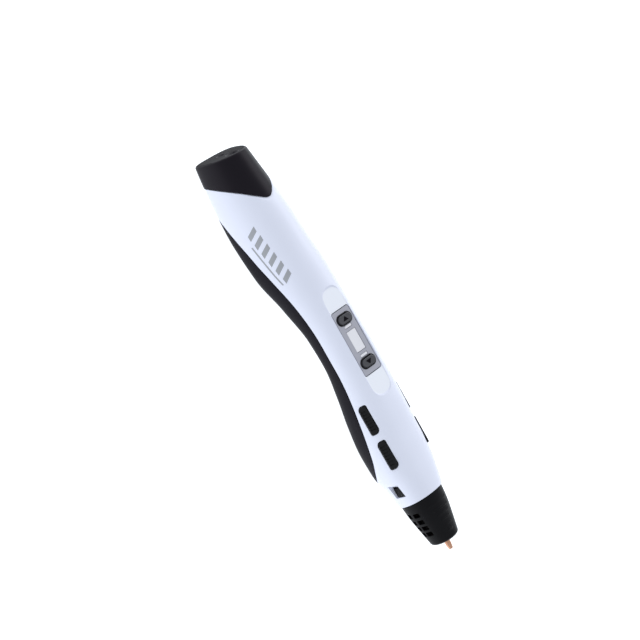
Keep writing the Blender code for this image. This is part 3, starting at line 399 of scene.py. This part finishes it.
def refinish(piece, finish, chosen):
    """Gives another finish to the faces for which chosen(pen-frame middle, pen-frame normal) holds."""
    piece.data.materials.append(materials[finish])
    to_pen = PEN.inverted()
    for face in piece.data.polygons:
        if chosen(to_pen @ face.center / MM, to_pen.to_3x3() @ face.normal):
            face.material_index = len(piece.data.materials) - 1
    return piece


def discard_cutters():
    """Removes the cutters, once every piece has been settled."""
    for cutter in set(spent):
        bpy.data.objects.remove(cutter)
    spent.clear()


def place(piece, body, slot, *nodes):
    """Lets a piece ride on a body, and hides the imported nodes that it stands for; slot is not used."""
    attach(piece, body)
    if nodes:
        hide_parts(*nodes)
    return piece


# ---------------------------------------------------------------- shapes in pen millimetres
def box(bm, low, high):
    """A box between two corners."""
    low, high = Vector(low), Vector(high)
    matrix = Matrix.Translation((low + high) / 2) @ Matrix.Diagonal((*(high - low), 1.0))
    bmesh.ops.create_cube(bm, size=1.0, matrix=matrix)


def rod(bm, start, end, radius, sides=48, end_radius=None):
    """A round rod, or a cone if it has an end radius."""
    start, end = Vector(start), Vector(end)
    along = end - start
    turn = Z_AXIS.rotation_difference(along).to_matrix().to_4x4() @ Matrix.Rotation(math.pi / sides, 4, "Z")
    last = radius if end_radius is None else end_radius
    bmesh.ops.create_cone(bm, cap_ends=True, segments=sides, radius1=radius, radius2=last,
                          depth=along.length, matrix=Matrix.Translation((start + end) / 2) @ turn)


def prism(bm, outline, near, far):
    """A flat outline drawn out from near to far."""
    near, far = Vector(near), Vector(far)
    face = bm.faces.new([bm.verts.new(Vector(point) + near) for point in outline])
    made = bmesh.ops.extrude_face_region(bm, geom=[face])
    moved = [item for item in made["geom"] if isinstance(item, bmesh.types.BMVert)]
    bmesh.ops.translate(bm, verts=moved, vec=far - near)


def skin(bm, rings, endless=False):
    """Joins rings of points that run the same way round, and closes both ends, or joins last to first."""
    rows = [[bm.verts.new(point) for point in ring] for ring in rings]
    pairs = list(zip(rows, rows[1:]))
    if endless:
        pairs.append((rows[-1], rows[0]))
    for low, high in pairs:
        for i in range(len(low)):
            j = (i + 1) % len(low)
            bm.faces.new((low[i], low[j], high[j], high[i]))
    if not endless:
        bm.faces.new(rows[0])
        bm.faces.new(rows[-1])


def turned(bm, profile, sides):
    """A closed profile of (X, radius) points turned about the nozzle axis."""
    angles = [2 * math.pi * i / sides for i in range(sides)]
    rings = [[Vector((x, radius * math.cos(angle), radius * math.sin(angle))) for angle in angles]
             for x, radius in profile]
    skin(bm, rings, endless=True)


def smooth_line(points, step):
    """A smooth curve through the points, with its own points about a step apart."""
    points = [Vector(point) for point in points]
    ends = [points[0] * 2 - points[1]] + points + [points[-1] * 2 - points[-2]]
    line = []
    for a, b, c, d in zip(ends, ends[1:], ends[2:], ends[3:]):
        count = max(1, round((c - b).length / step))
        for i in range(count):
            t = i / count
            line.append((b * 2 + (c - a) * t + (a * 2 - b * 5 + c * 4 - d) * t * t
                         + (b * 3 - a - c * 3 + d) * t ** 3) / 2)
    return line + [points[-1]]


def rounded_outline(size, radii, steps=8):
    """A rectangle about the origin with a radius for each corner, from the lower left one round."""
    half_x, half_y = size[0] / 2, size[1] / 2
    corners = [(-1, -1, 180), (1, -1, 270), (1, 1, 0), (-1, 1, 90)]
    outline = []
    for (sign_x, sign_y, first), radius in zip(corners, radii):
        centre = (sign_x * (half_x - radius), sign_y * (half_y - radius))
        for i in range(steps + 1):
            angle = math.radians(first + 90 * i / steps)
            outline.append((centre[0] + radius * math.cos(angle), centre[1] + radius * math.sin(angle)))
    return outline


# ---------------------------------------------------------------- the body's form
def slope(j, k):
    """The slope of the stations' value k at station j, which never makes the curve overshoot."""
    rises = []
    for a, b in ((j - 1, j), (j, j + 1)):
        if a >= 0 and b < len(STATIONS):
            rises.append((STATIONS[b][k] - STATIONS[a][k]) / (STATIONS[b][0] - STATIONS[a][0]))
    if len(rises) == 1:
        return rises[0]
    if rises[0] * rises[1] <= 0:
        return 0.0
    return 2 * rises[0] * rises[1] / (rises[0] + rises[1])


def at_station(x):
    """Half width, widest level, front and back depth and roundness at x, by monotone cubics."""
    i = max(0, min(len(STATIONS) - 2, sum(1 for station in STATIONS if station[0] <= x) - 1))
    span = STATIONS[i + 1][0] - STATIONS[i][0]
    t = (x - STATIONS[i][0]) / span
    values = []
    for k in range(1, len(STATIONS[0])):
        y0, y1 = STATIONS[i][k], STATIONS[i + 1][k]
        values.append((2 * t ** 3 - 3 * t * t + 1) * y0 + (t ** 3 - 2 * t * t + t) * span * slope(i, k)
                      + (3 * t * t - 2 * t ** 3) * y1 + (t ** 3 - t * t) * span * slope(i + 1, k))
    return values


def surface_point(x, angle, inset=0.0, sizes=None):
    """The body's surface at x; angle 0 is +Y and a right angle is the crown."""
    half, level, front, back, round_front, round_back = sizes or at_station(x)
    end_lean = END_SLANT * max(0.0, 1 - (x - CAP_END) / SLANT_FADE)
    seam_lean = SEAM_SLANT * min(1.0, max(0.0, 1 - (SHELL_END - x) / SEAM_FADE))
    cos, sin = math.cos(angle), math.sin(angle)
    power = 2 / (round_front if sin >= 0 else round_back)
    depth = front if sin >= 0 else back
    y = (half - inset) * math.copysign(abs(cos) ** power, cos)
    z = level + (depth - inset) * math.copysign(abs(sin) ** power, sin)
    return Vector((x + end_lean * z - seam_lean * (z - SEAM_LOW), y, z))


def section(x, inset, sides):
    """The section at x with its points evenly spaced round it, starting on the +Y side."""
    sizes = at_station(x)
    count = sides * EVEN_SAMPLES
    dense = [surface_point(x, 2 * math.pi * i / count, inset, sizes) for i in range(count + 1)]
    lengths = [0.0]
    for a, b in zip(dense, dense[1:]):
        lengths.append(lengths[-1] + (b - a).length)
    points = []
    k = 0
    for i in range(sides):
        want = lengths[-1] * i / sides
        while lengths[k + 1] < want:
            k += 1
        t = (want - lengths[k]) / (lengths[k + 1] - lengths[k])
        points.append(dense[k].lerp(dense[k + 1], t))
    return points


def form(inset, start, end, round_end, step, sides):
    """The body's solid between two stations, inset from its surface, with its rear edge rounded."""
    bm = bmesh.new()
    steps = END_ROUND_STEPS if round_end else 0
    rows = []
    for i in range(steps):
        angle = math.pi / 2 * i / steps
        rows.append((start + round_end * (1 - math.cos(angle)), inset + round_end * (1 - math.sin(angle))))
    first = start + round_end
    count = round((end - first) / step)
    rows += [(first + (end - first) * i / count, inset) for i in range(count + 1)]
    skin(bm, [section(x, grown, sides) for x, grown in rows])
    return bm


def side_region(name, seam, corners, shrink):
    """A cutter for what lies on one side of a seam, moved off it by shrink; corners close its outline."""
    line = smooth_line([Vector((x, 0.0, z)) for x, z in seam], SEAM_STEP)
    outline = []
    for i, point in enumerate(line):
        along = line[min(i + 1, len(line) - 1)] - line[max(i - 1, 0)]
        outline.append(point - along.cross(Y_AXIS).normalized() * shrink)
    outline += [Vector((x, 0.0, z)) for x, z in corners]
    bm = bmesh.new()
    prism(bm, outline, Y_AXIS * -BEYOND_SIDE, Y_AXIS * BEYOND_SIDE)
    return add_object(name, bm)


def cutter_box(name, low, high):
    bm = bmesh.new()
    box(bm, low, high)
    return add_object(name, bm)


def cutter_rod(name, start, end, radius, sides=48, end_radius=None):
    bm = bmesh.new()
    rod(bm, start, end, radius, sides, end_radius)
    return add_object(name, bm)


# ---------------------------------------------------------------- shells
def side_place(station, side):
    """The middle of a side key's face, the way in and the way up across the face."""
    y, z = SIDE_LEVEL[station]
    inward = Vector((0, -side * math.cos(SIDE_TILT), -math.sin(SIDE_TILT)))
    up = Vector((0, -side * math.sin(SIDE_TILT), math.cos(SIDE_TILT)))
    return Vector((SIDE_X[station], side * y, z)), inward, up


def side_outline(station, side, grow):
    """A side key's outline, grown by some millimetres."""
    centre, _, up = side_place(station, side)
    size = (SIDE_SIZE[0] + 2 * grow, SIDE_SIZE[1] + 2 * grow)
    corner, wide = max(0.05, SIDE_CORNER + grow), SIDE_ROUND + grow
    return [centre + X_AXIS * u + up * v for u, v in rounded_outline(size, (wide, corner, wide, corner))]


def pill_outline(x, grow):
    """A pill key's outline, grown by some millimetres."""
    size = (PILL_SIZE[0] + 2 * grow, PILL_SIZE[1] + 2 * grow)
    return [Vector((x + u, v, 0)) for u, v in rounded_outline(size, [size[0] / 2 - 0.01] * 4, 10)]


def panel_outline(grow):
    """The display panel's outline, grown by some millimetres."""
    middle = (PANEL_X[0] + PANEL_X[1]) / 2
    size = (PANEL_X[1] - PANEL_X[0] + 2 * grow, PANEL_WIDTH + 2 * grow)
    return [Vector((middle + x, y, 0)) for x, y in rounded_outline(size, [PANEL_CORNER + grow] * 4, 6)]


def make_shells():
    """The white shell, the grip cover and the cap, all cut from the same form."""
    core = form(WALL, CAP_END + CAP_FLOOR, SHELL_END + 3, 0.0, COARSE_STEP, COARSE_SIDES)
    inner = add_object("inner_form", core)
    cover_side = [(COVER_ARCH[-1][0], BEYOND_LOW), (COVER_ARCH[0][0], BEYOND_LOW)]
    cap_side = [(BEYOND_REAR, CAP_SEAM[-1][1]), (BEYOND_REAR, BEYOND_HIGH), (CAP_SEAM[0][0], BEYOND_HIGH)]
    whole = form(0.0, CAP_END, SHELL_END, END_ROUND, FINE_STEP, FINE_SIDES)
    shell = add_object("white_shell", whole.copy(), "white_shell")
    boolean(shell, inner)
    boolean(shell, side_region("cap_opening", CAP_SEAM, cap_side, 0.0))
    boolean(shell, side_region("cover_opening", COVER_ARCH, cover_side, 0.0))
    for cutter in shell_openings():
        boolean(shell, cutter)
    settle(shell, EDGE_ROUND)
    # the land in the display pocket gets a brighter copy of the white plastic: painted light
    off_level, upright = PAINTED_LIGHT_LAND
    refinish(shell, "white_land_painted_light",
             lambda middle, normal: abs(middle.z - DISPLAY_Z) < off_level and normal.z > upright)
    place(shell, HOUSING, "white_shell", "front_shell")

    cover = add_object("grip_cover", whole.copy(), "black_grip")
    boolean(cover, inner)
    boolean(cover, side_region("cover_room", COVER_ARCH, cover_side, GAP), "INTERSECT")
    boolean(cover, below_the_floor())
    for x in COVER_SCREW_X:
        _, level, _, back, _, _ = at_station(x)
        seat = level - back + SCREW_SEAT
        boolean(cover, cutter_rod("screw_way_%d" % x, (x, 0, -20), (x, 0, -8), SCREW_WAY, 32))
        boolean(cover, cutter_rod("screw_head_way_%d" % x, (x, 0, -20), (x, 0, seat), SCREW_HEAD_WAY))
    place(settle(cover, EDGE_ROUND), HOUSING, "black_shell", "rear_cover")

    cap = add_object("oblique_cap", whole, "black_shell")
    boolean(cap, inner)
    boolean(cap, side_region("cap_room", CAP_SEAM, cap_side, GAP), "INTERSECT")
    for label, (z, radius) in INLETS.items():
        boolean(cap, cutter_rod(label + "_way", (-95, 0, z), (-80, 0, z), radius))
        face = CAP_END + END_SLANT * z
        funnel = cutter_rod(label + "_funnel", (face - FUNNEL_DEPTH, 0, z), (face + FUNNEL_DEPTH / 2, 0, z),
                            radius + FUNNEL_FLARE, end_radius=radius)
        boolean(cap, funnel)
    settle(cap, EDGE_ROUND)
    # the cap's end face gets a darker, duller copy of the black plastic: painted shade
    reach, backward = SHADED_END_FACE_REACH
    refinish(cap, "black_arrows_and_shaded_face", lambda middle, normal: middle.x < CAP_END + reach and normal.x < backward)
    place(cap, HOUSING, "black_shell", "end_cap")


def below_the_floor():
    """A cutter for all that would reach below the plane on which the pen rests."""
    bm = bmesh.new()
    box(bm, (-120, -30, -20), (120, 30, 0))
    to_pen = (PEN @ Matrix.Scale(MM, 4)).inverted() @ Matrix.Scale(MM, 4)
    bmesh.ops.transform(bm, matrix=to_pen, verts=bm.verts)
    return add_object("resting_plane", bm)


def shell_openings():
    """Cutters for the display pocket and panel, the side keys and the two snap windows."""
    made = []
    middle = (POCKET_X[0] + POCKET_X[1]) / 2
    bm = bmesh.new()
    rings = []
    for grow, depth in POCKET_WALL:
        size = (POCKET_X[1] - POCKET_X[0] + 2 * grow, POCKET_WIDTH + 2 * grow)
        outline = rounded_outline(size, [size[1] * POCKET_ROUND] * 4, POCKET_CORNER_STEPS)
        rings.append([Vector((middle + x, y, DISPLAY_Z + depth)) for x, y in outline])
    skin(bm, rings)
    made.append(add_object("display_pocket", bm))
    bm = bmesh.new()
    prism(bm, panel_outline(GAP), Z_AXIS * PANEL_CUT[0], Z_AXIS * PANEL_CUT[1])
    made.append(add_object("panel_way", bm))
    for side in (-1, 1):
        for station in SIDE_X:
            _, inward, _ = side_place(station, side)
            bm = bmesh.new()
            prism(bm, side_outline(station, side, GAP), -inward * 4, inward * (FLANGE_DEPTH - GAP))
            made.append(add_object("side_way_%s_%d" % (station, side), bm))
        bm = bmesh.new()
        slope_end = WINDOW_X[0] + WINDOW_SLOPE
        outline = [(WINDOW_X[0], WINDOW_OUT), (WINDOW_X[0], WINDOW_EDGE), (slope_end, WINDOW_LEDGE),
                   (slope_end, WINDOW_IN), (WINDOW_X[1], WINDOW_IN), (WINDOW_X[1], WINDOW_OUT)]
        corners = [Vector((x, side * y, 0)) for x, y in outline]
        prism(bm, corners, Z_AXIS * WINDOW_Z[0], Z_AXIS * WINDOW_Z[1])
        made.append(add_object("snap_way_%d" % side, bm))
    return made


# ---------------------------------------------------------------- keys and display
def make_side_keys():
    """The four black keys in the sides, with grooves across their faces."""
    for name, (body, station, side) in SIDE_KEYS.items():
        centre, inward, up = side_place(station, side)
        bm = bmesh.new()
        proud = SIDE_PROUD[station]
        rings = [(FLANGE_DEPTH + FLANGE_THICK, FLANGE_REACH), (FLANGE_DEPTH, FLANGE_REACH),
                 (FLANGE_DEPTH, 0.0)] + [(depth - proud, grow) for depth, grow in SIDE_EDGE]
        skin(bm, [[point + inward * depth for point in side_outline(station, side, grow)]
                  for depth, grow in rings])
        key = add_object(name + "_look", bm, "black_keys")
        grooves = bmesh.new()
        wide, high = X_AXIS * GROOVE_WIDTH, up * GROOVE_LENGTH
        for i in range(GROOVES):
            middle = centre + X_AXIS * (i - (GROOVES - 1) / 2) * GROOVE_PITCH - inward * proud
            near = middle - wide / 2 - high / 2
            prism(grooves, [near, near + wide, near + wide + high, near + high],
                  -inward * 0.5, inward * GROOVE_DEPTH)
        boolean(key, add_object(name + "_grooves", grooves))
        place(settle(key, 0.06, 50.0, 0.01), body, "black_keys", name)


def make_pill_keys():
    """The two grey keys in the display panel, each with an arrow."""
    for name, x in PILL_X.items():
        body = name.replace("button", "key")
        top = DISPLAY_Z + PILL_PROUD
        under = DISPLAY_Z - PANEL_THICK - GAP
        bm = bmesh.new()
        reach, thick = PILL_FLANGE
        rings = [(under - thick, reach), (under, reach), (under, -GAP)]
        rings += [(top + z, -GAP + grow) for z, grow in PILL_EDGE]
        skin(bm, [[point + Z_AXIS * z for point in pill_outline(x, grow)] for z, grow in rings])
        key = add_object(name + "_look", bm, "grey_keys")
        place(settle(key), body, "grey_keys", name)
        direction = 1 if "up" in name else -1
        arrow = bmesh.new()
        points = [(ARROW_BASE, -ARROW_HALF), (ARROW_BASE, ARROW_HALF), (ARROW_TIP, 0.0)]
        prism(arrow, [Vector((x + u * direction, v, 0)) for u, v in points],
              Z_AXIS * (top + ARROW_FROM), Z_AXIS * (top + ARROW_PROUD))
        piece = add_object(name + "_arrow", arrow, "black_arrows_and_shaded_face")
        place(settle(piece, 0.05), body, "grey_keys")


def make_panel():
    """The silver panel in the pocket with its three lenses, and the black rings of painted shade round the
    keys' holes.
    """
    low, high = DISPLAY_Z - PANEL_THICK, DISPLAY_Z
    bm = bmesh.new()
    rings = [(low, 0.0)] + [(high + z, grow) for z, grow in PANEL_EDGE]
    skin(bm, [[point + Z_AXIS * z for point in panel_outline(grow)] for z, grow in rings])
    panel = add_object("silver_panel", bm, "grey_panel")
    windows = {"lcd_window": (LCD_X, LCD_WIDTH)}
    for name, x in LAMP_X.items():
        windows[name] = ((x - LAMP_SIZE[0] / 2, x + LAMP_SIZE[0] / 2), LAMP_SIZE[1])
    for name, (span, width) in windows.items():
        boolean(panel, cutter_box(name + "_way", (span[0], -width / 2, 10), (span[1], width / 2, 15)))
        bm = bmesh.new()
        box(bm, (span[0] + LENS_GAP, -width / 2 + LENS_GAP, low),
            (span[1] - LENS_GAP, width / 2 - LENS_GAP, high - LENS_SUNK))
        lens = add_object(name + "_lens", bm, "clear_window")
        place(settle(lens, 0.08), HOUSING, "clear_window", name)
    for name, x in PILL_X.items():
        bm = bmesh.new()
        prism(bm, pill_outline(x, 0.0), Z_AXIS * PANEL_CUT[0], Z_AXIS * PANEL_CUT[1])
        boolean(panel, add_object(name + "_way", bm))
    place(settle(panel, 0.06, 50.0, 0.01), HOUSING, "grey_panel", "display_panel")
    for name, x in PILL_X.items():
        make_pill_gap_shade(name, x)


def make_pill_gap_shade(name, x):
    """A thin black ring round a key's hole in the panel: painted shade standing for the gap."""
    bm = bmesh.new()
    rings = [[point + Z_AXIS * (DISPLAY_Z + z) for point in pill_outline(x, grow)]
             for grow, z in GAP_SHADE_PROFILE]
    skin(bm, rings, endless=True)
    place(add_object(name + "_gap_shade", bm, "gap_shade_black"), HOUSING, "black_shell")


# ---------------------------------------------------------------- cone and nozzle
def level_at(line, x):
    """The height of a line of (x, height) points at x."""
    for (x0, y0), (x1, y1) in zip(line, line[1:]):
        if x <= x1:
            return y0 + (y1 - y0) * (x - x0) / (x1 - x0)
    return line[-1][1]


def make_cone():
    """The black cone, with ribs on its crown, snap tabs in the shell's windows and vents at its sides."""
    rear, front = CONE_X
    angles = [math.pi / 2 * i / NOSE_STEPS for i in range(1, NOSE_STEPS + 1)]
    nose = [(front - NOSE_ROUND * (1 - math.sin(a)), NOSE_FLAT + NOSE_ROUND * math.cos(a)) for a in angles]
    steps = (-RIB_FOOT, -RIB_TOP, RIB_TOP, RIB_FOOT)
    stations = CONE_RINGS + [x + step for x, _ in CONE_RIBS for step in steps]
    outside = [(x, level_at(CONE_LINE, x)) for x in sorted(stations)]
    spigot = [(rear, CONE_SPIGOT), (SHELL_END + GAP, CONE_SPIGOT), (SHELL_END + GAP, 8.9),
              (SHELL_END + GAP + 0.12, 9.06)]
    hollow = [(front, 2.2), (front - 0.2, 2.0), (front - 1.3, 2.0), (front - 1.3, 4.4), (75.0, 6.2),
              (66.5, 6.1), (rear, 6.1)]
    bm = bmesh.new()
    turned(bm, spigot + outside + nose + hollow, 128)
    raise_ribs(bm)
    for vert in bm.verts:
        share = min(1.0, max(0.0, (LEAN_FROM - vert.co.x) / LEAN_FADE))
        vert.co.x -= SEAM_SLANT * share * (vert.co.z - SEAM_LOW)
    cone = add_object("vented_cone", bm, "black_cone")
    for side in (-1, 1):
        near, far = sorted((side * TAB_ROOT, side * TAB_FACE))
        tab = cutter_box("snap_tab_%d" % side,
                         (WINDOW_X[0] + WINDOW_SLOPE + TAB_GAP, near, WINDOW_Z[0] + TAB_GAP),
                         (WINDOW_X[1] - TAB_GAP, far, WINDOW_Z[1] - TAB_GAP))
        boolean(cone, tab, "UNION")
        for tilt in (VENT_ANGLE, -VENT_ANGLE):
            out = Vector((0, side * math.cos(tilt), math.sin(tilt)))
            across = X_AXIS.cross(out)
            for i, x in enumerate(VENT_X):
                bm = bmesh.new()
                outline = [X_AXIS * (x + u) + across * v
                           for u, v in rounded_outline(VENT_SIZE, [VENT_CORNER] * 4, 3)]
                prism(bm, outline, out * VENT_CUT[0], out * VENT_CUT[1])
                boolean(cone, add_object("vent_%d_%d_%d" % (side, tilt > 0, i), bm))
    place(settle(cone, 0.12, 45.0, 0.02), HOUSING, "black_shell", "nozzle_cover")


def raise_ribs(bm):
    """Lifts the rings of the cone's ribs, on its outside and near its crown."""
    for x, reach in CONE_RIBS:
        for vert in bm.verts:
            along, y, z = vert.co
            radius = math.hypot(y, z)
            off_crown = math.degrees(math.acos(max(-1.0, min(1.0, z / radius))))
            on_rib = min(abs(along - (x - RIB_TOP)), abs(along - (x + RIB_TOP))) < 0.01
            if on_rib and radius > CONE_HOLLOW and off_crown < reach:
                vert.co.yz *= 1 + RIB_HEIGHT / radius


def make_nozzle():
    """The copper nozzle: its root, a wider collar, and a slim end with a bore."""
    root = [(73.3, 0.35), (73.3, 1.7), (78.3, 1.7)]
    collar = [(78.3, 2.9), (78.4, 3.0), (81.4, 3.0), (81.5, 2.9), (81.5, 2.2), (83.5, 2.2)]
    end = [(84.2, NOZZLE_RADIUS), (84.4, NOZZLE_RADIUS), (86.0, NOZZLE_RADIUS),
           (TIP_X - 2.3, NOZZLE_RADIUS), (TIP_X - 2.1, NOZZLE_RADIUS - 0.03), (TIP_X - 0.35, 0.97),
           (TIP_X - 0.1, 0.9), (TIP_X, 0.78)]
    bore = [(TIP_X, 0.25), (TIP_X - 0.6, 0.22), (TIP_X - 0.8, 0.35)]
    bm = bmesh.new()
    turned(bm, root + collar + end + bore, 64)
    place(settle(add_object("copper_nozzle", bm, "copper")), HOUSING, "copper", "nozzle")


# ---------------------------------------------------------------- printed mark
def make_mark():
    """A plain printed mark: six slanted bars, and a thin rule under them."""
    for i in range(BARS):
        start = BAR_START + i * BAR_PITCH
        middle = BAR_ANGLE - i * BAR_TURN
        make_print("mark_bar_%d" % (i + 1), (start, start + BAR_LENGTH), (middle, middle),
                   BAR_REACH, BAR_SLANT)
    make_print("mark_rule", RULE_X, RULE_ANGLES, RULE_REACH, 0.0)


def make_print(name, span, middles, reach, slant):
    """A thin layer of ink between two stations, reach degrees wide round the body about the middles."""
    start, end = span
    across, along = PRINT_ROWS, max(3, round((end - start) / PRINT_STEP))
    bm = bmesh.new()
    rows = []
    for u in range(along + 1):
        row = []
        for v in range(across + 1):
            x = start + (end - start) * u / along + slant * (v / across - 0.5)
            middle = middles[0] + (middles[1] - middles[0]) * u / along
            angle = math.radians(middle + reach * (v / across - 0.5))
            row.append(bm.verts.new(surface_point(x, angle, -INK_PROUD)))
        rows.append(row)
    for a, b in zip(rows, rows[1:]):
        for j in range(across):
            bm.faces.new((a[j], a[j + 1], b[j + 1], b[j]))
    made = bmesh.ops.extrude_face_region(bm, geom=bm.faces[:])
    for vert in [item for item in made["geom"] if isinstance(item, bmesh.types.BMVert)]:
        vert.co -= Vector((0, vert.co.y, vert.co.z)).normalized() * INK_ROOT
    place(add_object(name, bm, "mark_grey"), HOUSING, "grey_panel")


# ---------------------------------------------------------------- camera, lights and floor
def make_camera():
    """The camera at the photo's viewing angle, set by the pen's own frame."""
    back = Vector((-math.sin(CAMERA_TILT), -math.sin(CAMERA_ROUND) * math.cos(CAMERA_TILT),
                   math.cos(CAMERA_ROUND) * math.cos(CAMERA_TILT)))
    along = (X_AXIS - back * back.x).normalized()
    across = back.cross(along)
    right = along * math.cos(CAMERA_ROLL) + across * math.sin(CAMERA_ROLL)
    up = across * math.cos(CAMERA_ROLL) - along * math.sin(CAMERA_ROLL)
    position = back * CAMERA_DISTANCE - right * AIM_OFFSET[0] - up * AIM_OFFSET[1]
    turn = Matrix((right, up, back)).transposed().to_4x4()
    data = bpy.data.cameras.new("camera")
    data.lens = CAMERA_LENS
    data.sensor_width = CAMERA_SENSOR
    data.clip_start, data.clip_end = CAMERA_CLIP
    camera = bpy.data.objects.new("camera", data)
    camera.matrix_world = PEN @ Matrix.Translation(position * MM) @ turn
    bpy.context.scene.collection.objects.link(camera)
    bpy.context.scene.camera = camera


def area_light(name, position, target, size, watts, colour):
    """A softbox at a position, turned to a target."""
    data = bpy.data.lights.new(name, "AREA")
    data.shape = "RECTANGLE"
    data.size, data.size_y = size
    data.energy = watts
    data.color = colour
    light = bpy.data.objects.new(name, data)
    light.location = position
    light.rotation_mode = "QUATERNION"
    light.rotation_quaternion = (Vector(target) - Vector(position)).to_track_quat("-Z", "Y")
    bpy.context.scene.collection.objects.link(light)


def make_studio():
    """The even light all round, one softbox and the paper floor."""
    world = bpy.data.worlds.new("studio")
    world.use_nodes = True
    background = world.node_tree.nodes["Background"]
    background.inputs["Color"].default_value = (*WORLD_COLOUR, 1.0)
    background.inputs["Strength"].default_value = WORLD_STRENGTH
    bpy.context.scene.world = world
    bpy.context.scene.view_settings.view_transform = "Standard"
    area_light("right_softbox", SOFTBOX_AT, SOFTBOX_AIM, SOFTBOX_SIZE, SOFTBOX_WATTS, SOFTBOX_COLOUR)
    bpy.ops.mesh.primitive_grid_add(x_subdivisions=FLOOR_CELLS, y_subdivisions=FLOOR_CELLS, size=FLOOR_SIZE)
    floor = bpy.context.object
    floor.name = "floor"
    finish, tree, shader = node_material("floor_paper", FLOOR_COLOURS[0], FLOOR_ROUGHNESS)
    vary_colour(tree, shader, add_noise(tree, 3.0, 2.0), *FLOOR_COLOURS)
    shader.inputs["Emission Color"].default_value = (*FLOOR_GLOW, 1.0)
    shader.inputs["Emission Strength"].default_value = FLOOR_GLOW_STRENGTH
    floor.data.materials.append(finish)


def dress_cad_nodes():
    """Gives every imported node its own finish, by its material slot in the record."""
    for part in frame["record"]["subparts"]:
        node = frame["nodes"][part["node"]]
        node.data.materials.clear()
        node.data.materials.append(materials[part["material_slot"]])


materials = make_materials()
spent = []
make_camera()
make_studio()
dress_cad_nodes()
make_shells()
make_side_keys()
make_pill_keys()
make_panel()
make_cone()
make_nozzle()
make_mark()
discard_cutters()
